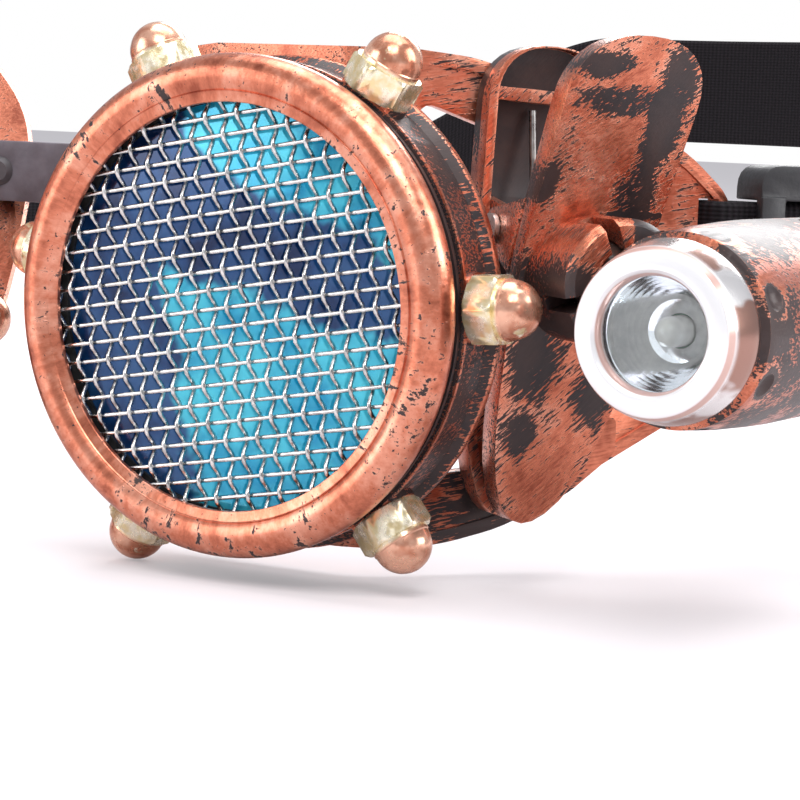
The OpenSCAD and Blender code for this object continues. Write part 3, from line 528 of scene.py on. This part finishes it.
def woven_wire_tree(material):
    """Straight wires across and wires crimped over and under them, cut to a disc across the lens axis."""
    tree, given, out = new_tree("woven_wire", [
        ("Disc radius", "NodeSocketFloat"), ("Pitch", "NodeSocketFloat"), ("Wire", "NodeSocketFloat"),
        ("Crimp", "NodeSocketFloat"), ("Wires", "NodeSocketInt"), ("Turn", "NodeSocketFloat"),
        ("Centre", "NodeSocketVector")])
    size = given.outputs
    gaps = maths(tree, "SUBTRACT", size["Wires"], 1.0)
    reach = maths(tree, "MULTIPLY", gaps, maths(tree, "MULTIPLY", size["Pitch"], 0.5))
    first = node(tree, "ShaderNodeCombineXYZ", {"Z": maths(tree, "MULTIPLY", reach, -1.0)}).outputs[0]
    gap = node(tree, "ShaderNodeCombineXYZ", {"Z": size["Pitch"]}).outputs[0]
    rows = node(tree, "GeometryNodeMeshLine", {"Count": size["Wires"], "Start Location": first,
                                               "Offset": gap}, mode="OFFSET")
    far_left = maths(tree, "MULTIPLY", size["Disc radius"], -1.0)
    low = node(tree, "ShaderNodeCombineXYZ", {"X": far_left}).outputs[0]
    high = node(tree, "ShaderNodeCombineXYZ", {"X": size["Disc radius"]}).outputs[0]
    straight = node(tree, "GeometryNodeCurvePrimitiveLine", {"Start": low, "End": high})
    fine = node(tree, "GeometryNodeResampleCurve", {"Curve": straight.outputs[0], "Count": 209})
    spread = node(tree, "GeometryNodeInstanceOnPoints", {
        "Points": rows.outputs[0], "Instance": fine.outputs[0]})
    across = node(tree, "GeometryNodeRealizeInstances", {0: spread.outputs[0]}).outputs[0]
    upright = node(tree, "GeometryNodeTransform", {"Geometry": across, "Rotation": (0, math.radians(90), 0)})

    place = node(tree, "GeometryNodeInputPosition").outputs[0]
    parts = node(tree, "ShaderNodeSeparateXYZ", {"Vector": place})
    counts = [maths(tree, "DIVIDE", parts.outputs[k], size["Pitch"]) for k in (0, 2)]
    waves = [maths(tree, "COSINE", maths(tree, "MULTIPLY", count, math.pi)) for count in counts]
    full = maths(tree, "MULTIPLY", maths(tree, "MULTIPLY", waves[0], waves[1]), -1.12)
    flat_topped = maths(tree, "MAXIMUM", maths(tree, "MINIMUM", full, 1.0), -1.0)
    depth = maths(tree, "MULTIPLY", flat_topped, size["Crimp"])
    offset = node(tree, "ShaderNodeCombineXYZ", {"Y": depth}).outputs[0]
    bent = node(tree, "GeometryNodeSetPosition", {
        "Geometry": upright.outputs[0], "Offset": offset}).outputs[0]
    both = node(tree, "GeometryNodeJoinGeometry")
    tree.links.new(across, both.inputs[0])
    tree.links.new(bent, both.inputs[0])
    away = node(tree, "ShaderNodeVectorMath", {0: place}, operation="LENGTH").outputs["Value"]
    outside = maths(tree, "GREATER_THAN", away, size["Disc radius"])
    woven = node(tree, "GeometryNodeDeleteGeometry", {"Geometry": both.outputs[0], "Selection": outside},
                 domain="POINT")
    section = node(tree, "GeometryNodeCurvePrimitiveCircle", {
        "Resolution": 8, "Radius": maths(tree, "MULTIPLY", size["Wire"], 0.5)})
    solid = node(tree, "GeometryNodeCurveToMesh", {
        "Curve": woven.outputs[0], "Profile Curve": section.outputs[0], "Fill Caps": True})
    smooth = node(tree, "GeometryNodeSetShadeSmooth", {"Geometry": solid.outputs[0]})
    turn = node(tree, "ShaderNodeCombineXYZ", {"Y": size["Turn"]}).outputs[0]
    placed = node(tree, "GeometryNodeTransform", {
        "Geometry": smooth.outputs[0], "Translation": size["Centre"], "Rotation": turn})
    real = node(tree, "GeometryNodeRealizeInstances", {0: placed.outputs[0]})
    done = node(tree, "GeometryNodeSetMaterial", {"Geometry": real.outputs[0], "Material": material})
    tree.links.new(done.outputs[0], out.inputs[0])
    return tree


def wire_mesh(side, centre, tree, material):
    low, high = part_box("mesh_" + side)
    piece = plain_object("wire_mesh_" + side, bpy.data.meshes.new("wire_mesh_" + side), material)
    weave = piece.modifiers.new("weave", "NODES")
    weave.node_group = tree
    set_sizes(weave, {"Disc radius": WEAVE_R * MM, "Pitch": WIRE_PITCH * MM, "Wire": WIRE_D * MM,
                      "Crimp": (WIRE_D + 0.05) * MM, "Wires": WIRES,
                      "Turn": math.radians(-WEAVE_TURN if side == "left" else WEAVE_TURN),
                      "Centre": (centre[0] * MM, (low.y + high.y) / 2, centre[1] * MM)})
    settled(piece)
    return stand_for(piece, "frame", "wire", "mesh_" + side)


def cap_nut(material):
    """One cap nut pointing along X: hexagon with eased corners, neck and dome."""
    shape = bmesh.new()
    corner = NUT_AF / 2 / math.cos(math.pi / 6)
    flats = []
    for x, grow in ((0.0, 0.93), (0.35, 1.0), (NUT_H - 0.35, 1.0), (NUT_H, 0.93)):
        ring = []
        for k in range(48):
            angle = math.tau * k / 48
            side = corner * math.cos(math.pi / 6) / math.cos((angle % (math.pi / 3)) - math.pi / 6)
            r = min(side, corner * (0.985 if grow == 1.0 else 0.90))
            ring.append((x, r))
        flats.append(ring)
    rings = [[(x, r, k) for k, (x, r) in enumerate(ring)] for ring in flats]
    neck = DOME_R + 0.12
    turned = [(NUT_H, neck), (NUT_H + 0.55, neck), (NUT_H + 0.7, DOME_R)]
    turned += [(NUT_H + 0.7 + DOME_R * math.sin(math.radians(a)), DOME_R * math.cos(math.radians(a)))
               for a in range(8, 90, 8)]
    for x, r in turned:
        rings.append([(x, r, k) for k in range(48)])
    made = [[shape.verts.new(((NUT_BASE + x) * MM, r * math.cos(math.tau * k / 48) * MM,
                              r * math.sin(math.tau * k / 48) * MM)) for x, r, k in ring] for ring in rings]
    for a, b in zip(made, made[1:]):
        for k in range(48):
            shape.faces.new((a[k], a[(k + 1) % 48], b[(k + 1) % 48], b[k]))
    shape.faces.new(made[0])
    shape.faces.new(made[-1])
    return from_faces("cap_nut", shape, material, 30)


def nut_ring_tree(material):
    """The cap nut, set at each point and turned by the point's own angle."""
    tree, given, out = new_tree("nut_ring", [("Nut", "NodeSocketObject")])
    shape = node(tree, "GeometryNodeObjectInfo", {"Object": given.outputs["Nut"]}).outputs["Geometry"]
    angle = node(tree, "GeometryNodeInputNamedAttribute", {"Name": "angle"}, data_type="FLOAT").outputs[0]
    turn = node(tree, "ShaderNodeCombineXYZ", {"Y": maths(tree, "MULTIPLY", angle, -1.0)}).outputs[0]
    spread = node(tree, "GeometryNodeInstanceOnPoints", {
        "Points": given.outputs["Geometry"], "Instance": shape, "Rotation": turn})
    real = node(tree, "GeometryNodeRealizeInstances", {0: spread.outputs[0]})
    done = node(tree, "GeometryNodeSetMaterial", {"Geometry": real.outputs[0], "Material": material})
    tree.links.new(done.outputs[0], out.inputs[0])
    return tree


def nuts(side, centre, angles, nut, tree, material):
    mirror = 1 if side == "left" else -1
    mesh = bpy.data.meshes.new("cap_nuts_" + side)
    mesh.from_pydata([(centre[0] * MM, NUT_Y * MM, centre[1] * MM)] * len(angles), [], [])
    turns = [math.radians(a) if mirror == 1 else math.pi - math.radians(a) for a in angles]
    mesh.attributes.new("angle", "FLOAT", "POINT").data.foreach_set("value", turns)
    piece = plain_object("cap_nuts_" + side, mesh, material)
    ring = piece.modifiers.new("ring", "NODES")
    ring.node_group = tree
    set_sizes(ring, {"Nut": nut})
    settled(piece)
    return stand_for(piece, "frame", "gold", "nuts_" + side)


def to_world(out, back):
    """A point of the temple panel, outwards and back, as a plan point in millimetres."""
    c, s = math.cos(math.radians(TEMPLE_ANGLE)), math.sin(math.radians(TEMPLE_ANGLE))
    return Vector((BEND_X + out * c + back * s, PLATE_Y - out * s + back * c))


def ease(t):
    t = min(1.0, max(0.0, t))
    return t * t * (3 - 2 * t)


def loop_route():
    """Middle line of the head strap, the same as the solid's."""
    start = to_world(STRAP_OFF, TEMPLE_LEN + 2.03)
    turn = to_world(STRAP_OFF, STRAP_STRAIGHT)
    back = Vector((math.sin(math.radians(TEMPLE_ANGLE)), math.cos(math.radians(TEMPLE_ANGLE))))
    rear = Vector((-CUP_SPACING / 2, LOOP_DEPTH))
    a, b, c, d = turn, turn + back * 42, rear + Vector((66, 0)), rear
    steps = 20
    half = [start, (start + turn) / 2]
    for k in range(steps + 1):
        t = k / steps
        half.append(a * (1 - t) ** 3 + 3 * b * t * (1 - t) ** 2 + 3 * c * t * t * (1 - t) + d * t ** 3)
    plan = half + [Vector((-CUP_SPACING - p.x, p.y)) for p in reversed(half[:-1])]
    last = len(plan) - 1
    rise = LOOP_RISE - STRAP_Z

    def height(i):
        u = i / last
        return STRAP_Z + rise * (ease((u - 0.08) / 0.3) - 0.95 * ease((u - 0.54) / 0.12)
                                 - 0.05 * ease((u - 0.75) / 0.2))
    return [Vector((p.x, p.y, height(i))) for i, p in enumerate(plan)]


def smoother(points, parts):
    """The route with points added between its own on a smooth curve."""
    made = []
    last = len(points) - 1
    for i in range(last):
        p0, p1, p2, p3 = (points[max(0, i - 1)], points[i], points[i + 1], points[min(last, i + 2)])
        for k in range(parts):
            t = k / parts
            made.append(0.5 * (2 * p1 + (p2 - p0) * t + (2 * p0 - 5 * p1 + 4 * p2 - p3) * t * t
                               + (3 * p1 - p0 - 3 * p2 + p3) * t ** 3))
    return made + [points[-1]]


def ribbon(name, route, width, thickness, material):
    """A flat band along a route, with rounded edges and a UV in millimetres along and across it."""
    half, t = width / 2, thickness / 2
    outline = []
    for side in (1, -1):
        zs = [-half, -half + 0.25, -half + 0.7] + [half * (k / 8) for k in range(-7, 8)] + [
            half - 0.7, half - 0.25, half]
        deep = [0.35, 0.8, 1.0] + [1.0] * 15 + [1.0, 0.8, 0.35]
        pairs = list(zip(zs, deep))
        if side == -1:
            pairs.reverse()
        outline += [(side * t * d, z) for z, d in pairs]
    shape = bmesh.new()
    weave = shape.loops.layers.uv.new("weave")
    rings, lengths, far = [], [], 0.0
    last = len(route) - 1
    for i, p in enumerate(route):
        d = (route[min(last, i + 1)] - route[max(0, i - 1)])
        out = Vector((-d.y, d.x, 0)).normalized()
        if i:
            far += (p - route[i - 1]).length
        lengths.append(far)
        rings.append([shape.verts.new((p + out * o + Vector((0, 0, z))) * MM) for o, z in outline])
    count = len(outline)
    for i in range(last):
        for k in range(count):
            n = (k + 1) % count
            face = shape.faces.new((rings[i][k], rings[i][n], rings[i + 1][n], rings[i + 1][k]))
            spots = ((lengths[i], outline[k][1]), (lengths[i], outline[n][1]),
                     (lengths[i + 1], outline[n][1]), (lengths[i + 1], outline[k][1]))
            for loop, spot in zip(face.loops, spots):
                loop[weave].uv = spot
    for end in (rings[0], rings[-1]):
        face = shape.faces.new(end)
        for loop, (o, z) in zip(face.loops, outline):
            loop[weave].uv = (o, z)
    return from_faces(name, shape, material, 50)


def fold_route():
    """Middle line of the strap's folded end, through the slot and back along the inside."""
    inner = -PANEL_T - 0.3 - STRAP_T / 2
    outer = STRAP_OFF
    mid = SLOT_END - 1.65
    under = outer - STRAP_T - 0.1
    line = [(outer, TEMPLE_LEN + 2), (outer, SLOT_END + 0.2), (outer - 0.8, mid + 0.5), (-1.0, mid),
            (inner + 0.8, mid + 0.5), (inner, SLOT_END + 0.2), (inner, TEMPLE_LEN + 0.9),
            (under - 0.6, TEMPLE_LEN + 4), (under, TEMPLE_LEN + 5.5), (under, TEMPLE_LEN + 23)]
    return [Vector((*to_world(*p), STRAP_Z)) for p in line]


def mirrored(route):
    return [Vector((-CUP_SPACING - p.x, p.y, p.z)) for p in reversed(route)]


def camera():
    """The photograph's point of view, fitted to the bezel and the nuts."""
    azimuth, elevation, roll = math.radians(29.4), math.radians(6.12), math.radians(2.32)
    away = Vector((math.sin(azimuth) * math.cos(elevation), -math.cos(azimuth) * math.cos(elevation),
                   math.sin(elevation)))
    right = Vector((math.cos(azimuth), math.sin(azimuth), 0))
    up = away.cross(right)
    turned_right = right * math.cos(roll) + up * math.sin(roll)
    turned_up = up * math.cos(roll) - right * math.sin(roll)
    place = Vector((25.1, 0, -8.7)) * MM + away * 0.300
    data = bpy.data.cameras.new("camera")
    data.sensor_width = 36
    data.lens = PHOTO_FOCAL * data.sensor_width / PHOTO_WIDTH
    data.clip_start = 0.01
    made = bpy.data.objects.new("camera", data)
    facing = Matrix((turned_right, turned_up, away)).transposed().to_4x4()
    made.matrix_world = Matrix.Translation(place) @ facing
    bpy.context.scene.collection.objects.link(made)
    bpy.context.scene.camera = made


def softbox(name, place, size, power, target=(0.0, 0.02, 0.0)):
    data = bpy.data.lights.new(name, "AREA")
    data.shape = "RECTANGLE"
    data.size, data.size_y = size
    data.energy = power
    made = bpy.data.objects.new(name, data)
    made.location = place
    made.rotation_euler = (Vector(target) - Vector(place)).to_track_quat("-Z", "Y").to_euler()
    bpy.context.scene.collection.objects.link(made)


def seen_directly(tree):
    """1 for what the camera sees, itself or through clear glass, and 0 for all other light."""
    path = node(tree, "ShaderNodeLightPath").outputs
    seen = maths(tree, "ADD", path["Is Camera Ray"], path["Is Transmission Ray"])
    return maths(tree, "MINIMUM", seen, 1.0)


def studio():
    world = bpy.data.worlds.new("studio")
    bpy.context.scene.world = world
    world.use_nodes = True
    tree = world.node_tree
    tree.nodes.clear()
    direct = seen_directly(tree)
    dim = node(tree, "ShaderNodeBackground", {"Color": (0.78, 0.80, 0.86, 1), "Strength": 0.55})
    white = node(tree, "ShaderNodeBackground", {"Color": (1, 1, 1, 1), "Strength": 1.0})
    mixed = node(tree, "ShaderNodeMixShader", {0: direct, 1: dim.outputs[0], 2: white.outputs[0]})
    out = node(tree, "ShaderNodeOutputWorld")
    tree.links.new(mixed.outputs[0], out.inputs["Surface"])

    floor_z = cad_box[0].z - FLOOR_GAP
    mesh = bpy.data.meshes.new("floor")
    reach = 4.0
    mesh.from_pydata([(-reach, -reach, floor_z), (reach, -reach, floor_z), (reach, reach, floor_z),
                      (-reach, reach, floor_z)], [], [(0, 1, 2, 3)])
    paper, tree = start_material("paper_floor")
    light = node(tree, "ShaderNodeEmission", {"Color": (0.97, 0.97, 1.0, 1),
                                              "Strength": maths(tree, "MULTIPLY", seen_directly(tree), 0.30)})
    sheet = node(tree, "ShaderNodeBsdfDiffuse", {"Color": (0.57, 0.535, 0.55, 1)})
    both = node(tree, "ShaderNodeAddShader", {0: light.outputs[0], 1: sheet.outputs[0]})
    finish_material(tree, both)
    plain_object("floor", mesh, paper)

    softbox("key", (0.45, -0.70, 1.0), (0.7, 0.7), 12)
    softbox("fill", (-0.95, -0.85, 0.35), (0.8, 0.9), 7)
    softbox("top", (0.0, 0.25, 1.2), (1.2, 0.9), 14)
    softbox("side", (1.0, 0.35, 0.45), (0.6, 0.8), 8)
    softbox("back", (-0.2, 1.1, 0.6), (0.9, 0.5), 9)


def bezel_black(tree, place, panel):
    """Black on the skirt behind the bead, and scratches in patches low and high on the bead."""
    behind = along_axis(tree, place, "Y", 3.9, 4.9)
    low = spot(tree, place, (-2, 0, -29), (14, 0, 5))
    high = spot(tree, place, (-16, 0, 22), (12, 0, 8))
    side = spot(tree, place, (27, 0, -3), (5, 0, 10))
    return added(tree, [(0.055, over_all(tree, "MAXIMUM", low, high, side)), (0.6, behind)])


def cup_black(tree, place, panel):
    """Black band with rubbed rib and rim; plate, nose and temple panel are rubbed to copper."""
    band = along_axis(tree, place, "Y", RIM_Y + 2.4, RIM_Y + 1.0)
    rib = over_all(tree, "MINIMUM", along_axis(tree, place, "Y", BAND_Y + 0.75, BAND_Y + 0.55),
                   out_of_axis(tree, place, BAND_R + 0.15, BAND_R + 0.3))
    rim = over_all(tree, "MINIMUM", out_of_axis(tree, place, BAND_R + 0.75, BAND_R + 0.95),
                   along_axis(tree, place, "Y", RIM_Y + 1.9, RIM_Y + 1.7))
    low = spot(tree, panel, (0, 15, -24), (0, 12, 7))
    return added(tree, [(0.165, band), (-0.12, rib), (-0.15, rim), (0.15, low)])


def dress_cups():
    edge = worn_edge("rubbed_edge")
    wire = polished("steel_wire", (0.50, 0.49, 0.48, 1), (0.88, 0.87, 0.85, 1), (0.16, 0.32))
    weave_tree = woven_wire_tree(wire)
    for side, centre, angles in (("left", LEFT, LEFT_NUTS), ("right", RIGHT, RIGHT_NUTS)):
        axis_at = (centre[0], 0, centre[1])
        bezel(side, centre, antique_copper("bezel_copper_" + side, axis_at, "radial", bare=0.13, scratch=0.08,
                                           blackened=bezel_black))
        wire_mesh(side, centre, weave_tree, wire)
        gold = plated_nut("nut_plating_" + side, axis_at)
        nut = cap_nut(gold)
        nuts(side, centre, angles, nut, nut_ring_tree(gold), gold)
        bpy.data.objects.remove(nut)
        patina = antique_copper("cup_patina_" + side, axis_at, "slanted", turn=10, bare=0.06,
                                blackened=cup_black, scratch=0.07)
        dressed("cup_" + side, "frame", "patina", patina, 0.22, edge)
        paint("lens_" + side, blue_lens("blue_glass_" + side, axis_at))


def paint(name, material):
    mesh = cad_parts[name].data
    mesh.materials.clear()
    mesh.materials.append(material)


def front_leaf_black(tree, place, panel):
    """Two dark bands across the top of the handle, a rubbed middle, dark strokes below and a black finger on
    the socket.
    """
    dark = [((17, 30), (4, 1.5)), ((20, 26), (6, 1.8)), ((26.5, 27), (2.6, 6)), ((25.5, 21.5), (2.6, 3.6)),
            ((24.5, 15), (3, 4)), ((13, 16.5), (1.5, 3)), ((13.5, 3), (4, 4.5)), ((15.5, -5), (3.5, 5)),
            ((23.5, -9), (3, 4)), ((14.5, -14), (2, 3))]
    bare = [((19.5, 20.5), (4, 3)), ((18, 14.5), (4, 3)), ((12.3, 23), (1.2, 6)), ((21, 29), (2, 0.8))]
    masks = [(0.25, spot(tree, panel, (0, y, z), (0, ry, rz))) for (y, z), (ry, rz) in dark]
    masks += [(-0.15, spot(tree, panel, (0, y, z), (0, ry, rz))) for (y, z), (ry, rz) in bare]
    finger = over_all(tree, "MINIMUM", along_axis(tree, panel, "X", 19.2, 20.0),
                      along_axis(tree, panel, "Y", CLIP_MID + 0.2, CLIP_MID + 1.2),
                      along_axis(tree, panel, "Z", SOCKET_Z + 8.2, SOCKET_Z + 7.4))
    return added(tree, masks + [(0.5, finger)])


def back_leaf_black(tree, place, panel):
    """The floor of the inner leaf's tray is black."""
    floor = over_all(tree, "MINIMUM", along_axis(tree, panel, "X", 2.95, 2.6),
                     along_axis(tree, panel, "Y", CLIP_MID - 7.9, CLIP_MID - 7.2),
                     along_axis(tree, panel, "Y", CLIP_MID + 7.9, CLIP_MID + 7.2))
    return added(tree, [(0.6, floor)])


def blunt_jaw(piece):
    """Widens the jaw's pointed tip into the pressed sheet's round one, more towards the front."""
    turn = Matrix.Rotation(math.radians(TEMPLE_ANGLE), 3, "Z")
    corner = Vector((BEND_X, PLATE_Y, 0)) * MM
    lean = Matrix.Rotation(math.radians(CLIP_LEAN), 3, "X")
    middle = Vector((0, CLIP_MID, SOCKET_Z)) * MM
    for v in piece.data.vertices:
        p = lean @ (turn @ (v.co - corner) - middle) + middle
        down = (2 - p.z / MM) / (2 + CLIP_BOTTOM)
        if down <= 0 or p.x / MM > 20:
            continue
        down = min(down, 0.9999)
        sharp = max(0.3, 8.5 * (1 - down ** 1.4) ** (1 / 1.4))
        blunt = 8.5 * (1 - down ** 3.0) ** (1 / 2.0)
        wider = 0.25 + 0.75 * min(blunt / sharp, 5.0)
        p.y = (CLIP_MID - 2.6 * down ** 2) * MM + (p.y - CLIP_MID * MM) * wider
        v.co = turn.transposed() @ (lean.transposed() @ (p - middle) + middle) + corner
    piece.data.update()


def clip_point(out, back, up):
    """A point given outwards, back and up on the upright clip, where the leaning clip has it."""
    lean = math.radians(CLIP_LEAN)
    y, z = back - CLIP_MID, up - SOCKET_Z
    plan = to_world(out, CLIP_MID + y * math.cos(lean) + z * math.sin(lean))
    return Vector((plan.x, plan.y, SOCKET_Z + z * math.cos(lean) - y * math.sin(lean)))


def bent_wire(name, route, radius, material, sides=10):
    """A round wire along a route of points in millimetres."""
    shape = bmesh.new()
    rings = []
    last = len(route) - 1
    side = Vector((0.31, 0.27, 0.91))
    for i, p in enumerate(route):
        along = (route[min(last, i + 1)] - route[max(0, i - 1)]).normalized()
        side = (side - along * side.dot(along)).normalized()
        up = along.cross(side)
        rings.append([shape.verts.new((p + (side * math.cos(math.tau * k / sides)
                                            + up * math.sin(math.tau * k / sides)) * radius) * MM)
                      for k in range(sides)])
    for a, b in zip(rings, rings[1:]):
        for k in range(sides):
            shape.faces.new((a[k], a[(k + 1) % sides], b[(k + 1) % sides], b[k]))
    shape.faces.new(rings[0])
    shape.faces.new(rings[-1])
    return from_faces(name, shape, material, 50)


def clip_spring(material):
    """Torsion spring on the pin: coil and inner leg stay, the outer leg turns with the outer leaf."""
    start, end = CLIP_MID - SPRING_REACH, CLIP_MID + SPRING_REACH
    steps = 108
    inner = [clip_point(INNER_LEG_X, start, SPRING_TOP), clip_point(PIN_X - COIL_R, start, PIN_Z + 0.2)]
    for k in range(steps + 1):
        turn = math.pi * (1 + 2 * SPRING_TURNS * k / steps)
        inner.append(clip_point(PIN_X + COIL_R * math.cos(turn), start + 2 * SPRING_REACH * k / steps,
                                PIN_Z + COIL_R * math.sin(turn)))
    stand_for(bent_wire("spring_coil", inner, SPRING_WIRE, material), "frame", "spring_steel",
              "clip_spring")
    outer = [clip_point(PIN_X + COIL_R, end + LEG_GAP, PIN_Z - 0.4),
             clip_point(OUTER_LEG_X, end + LEG_GAP, SPRING_TOP)]
    stand_for(bent_wire("spring_leg", outer, SPRING_WIRE, material), "clip_jaw", "spring_steel",
              "clip_spring")


def dress_clip():
    edge = worn_edge("leaf_edge")
    handled = antique_copper("clip_copper", strokes="slanted", bare=0.07, shine=0.26,
                             blackened=front_leaf_black, scratch=0.15)
    outer = dressed("clip_front", "clip_jaw", "copper", handled, 0.3, edge)
    sheltered = antique_copper("inner_leaf_copper", strokes="slanted", bare=0.07,
                               blackened=back_leaf_black, scratch=0.12)
    inner = dressed("clip_back", "frame", "copper", sheltered, 0.3, edge)
    blunt_jaw(outer)
    blunt_jaw(inner)


def barrel_black(tree, place, panel):
    """Thick patina with each dimple black in a rubbed rim."""
    masks = []
    for k in range(DIMPLES):
        turn = (k - 0.44) * math.tau / DIMPLES
        middle = (BARREL_R * math.cos(turn), TORCH_FRONT + 9.3, -BARREL_R * math.sin(turn))
        masks.append((-0.16, spot(tree, place, middle, (3.2, 3.2, 3.2))))
        masks.append((0.45, spot(tree, place, middle, (2.0, 2.0, 2.0))))
    return added(tree, masks)


def head_chrome():
    """Bright chrome whose side has the copper about it painted in as a warm reflection, with a satin front
    ring.
    """
    made, tree = start_material("head_chrome")
    place = in_millimetres(tree, (TORCH_AXIS[0], TORCH_FRONT, TORCH_AXIS[1]))
    drawn = node(tree, "ShaderNodeMapping", {"Vector": place, "Scale": (1, 0.4, 1)}).outputs[0]
    cloud = noise(tree, drawn, 0.16, 3.0)
    side = along_axis(tree, place, "Y", 0.9, 2.2)
    # Painted reflection: the side's colour goes warm brown in clouds, standing for the copper it mirrors.
    painted_copper_reflection = blend_colours(tree, level(tree, cloud, 0.44, 0.52), (0.80, 0.78, 0.78, 1),
                         (0.36, 0.20, 0.16, 1))
    lip = over_all(tree, "MINIMUM", along_axis(tree, place, "Y", 0.25, 0.5),
                   along_axis(tree, place, "Y", 1.5, 1.1))
    colour = blend_colours(tree, side, (0.88, 0.88, 0.89, 1), painted_copper_reflection)
    colour = blend_colours(tree, maths(tree, "MULTIPLY", lip, 0.8), colour, (0.55, 0.30, 0.24, 1))
    shader = node(tree, "ShaderNodeBsdfPrincipled", {"Base Color": colour, "Roughness": 0.22,
                                                     "Metallic": level(tree, side, 0, 1, 0.35, 0.85)})
    finish_material(tree, shader, cloud, 0.02)
    return made


def dress_torch():
    middle = (TORCH_AXIS[0], 0, TORCH_AXIS[1])
    patina = antique_copper("torch_patina", middle, "slanted", turn=0, bare=-0.07,
                            blackened=barrel_black, streaks=0.35, scratch=0.05)
    dressed("torch_barrel", "torch", "patina", patina, 0.2, worn_edge("barrel_edge"))
    profile = [(7.2, 6.0), (7.2, 1.9), (6.1, 1.8), (6.1, 1.1), (6.45, 0.35), (6.8, 0.05), (7.1, 0.0),
               (8.3, 0.1), (8.75, 0.35), (9.05, 0.9), (9.3, 1.8), (9.6, 3.0), (9.85, 4.3), (10.0, 5.2),
               (9.95, 5.8), (9.8, 6.0)]
    ring = lathe("head_ring", [(r, y + TORCH_FRONT) for r, y in profile], TORCH_AXIS, head_chrome(), 120)
    stand_for(ring, "torch", "chrome", "torch_head")
    dressed("torch_tail_cap", "tail_cap", "copper", antique_copper("tail_copper", middle, bare=0.0), 0.2)
    dressed("ball_stud", "torch_ball", "black_gloss", moulded(
        "ball_gloss", BLACK, (0.05, 0.035, 0.03, 1), (0.12, 0.28)), 0.1)
    paint("torch_lens", clear_glass("torch_glass"))
    paint("torch_reflector", polished("reflector_silver", (0.85, 0.86, 0.88, 1), (0.97, 0.97, 0.98, 1),
                                      (0.03, 0.10)))


def dress_straps():
    elastic = elastic_weave("elastic")
    stand_for(ribbon("elastic_strap", smoother(loop_route(), 5), STRAP_W, STRAP_T, elastic),
              "frame", "elastic", "head_strap")
    fold = smoother(fold_route(), 4)
    stand_for(ribbon("elastic_fold_left", fold, STRAP_W, STRAP_T, elastic),
              "frame", "elastic", "strap_return_left")
    stand_for(ribbon("elastic_fold_right", mirrored(fold), STRAP_W, STRAP_T, elastic),
              "frame", "elastic", "strap_return_right")
    dressed("strap_slider", "adjuster", "black_plastic", moulded(
        "adjuster_plastic", BLACK, (0.02, 0.02, 0.023, 1), (0.40, 0.55)), 0.5)
    dressed("bridge_band", "frame", "bridge_band", moulded(
        "bridge_rubber", (0.10, 0.085, 0.10, 1), (0.16, 0.145, 0.17, 1), (0.5, 0.7)), 0.3)


def dress_small_parts():
    steel = polished("plain_steel", (0.40, 0.39, 0.38, 1), (0.66, 0.65, 0.63, 1), (0.2, 0.4))
    dark_steel = polished("spring_steel", (0.14, 0.13, 0.13, 1), (0.30, 0.29, 0.28, 1), (0.25, 0.45))
    rubber = moulded("black_rubber", (0.012, 0.012, 0.012, 1), (0.03, 0.03, 0.03, 1), (0.55, 0.8))
    brass = polished("stud_brass", (0.45, 0.32, 0.14, 1), (0.66, 0.50, 0.26, 1), (0.2, 0.4))
    dark_cap = moulded("rivet_cap", (0.05, 0.045, 0.05, 1), (0.09, 0.08, 0.09, 1), (0.4, 0.6))
    board = moulded("green_board", (0.02, 0.12, 0.045, 1), (0.04, 0.2, 0.08, 1), (0.3, 0.5))
    lamp = moulded("lamp_dome", (0.50, 0.50, 0.46, 1), (0.75, 0.74, 0.66, 1), (0.08, 0.2))
    clip_spring(dark_steel)
    for name, material in (
            ("spacer_left", rubber), ("spacer_right", rubber),
            ("gasket_left", rubber), ("gasket_right", rubber),
            ("studs_left", brass), ("studs_right", brass), ("bridge_rivets", dark_cap),
            ("clip_pin", steel), ("torch_cells", steel), ("torch_spring", steel),
            ("torch_board", board), ("torch_led", lamp), ("torch_button", rubber)):
        paint(name, material)


bpy.context.scene.view_settings.view_transform = "Standard"
camera()
studio()
dress_cups()
dress_clip()
dress_torch()
dress_straps()
dress_small_parts()
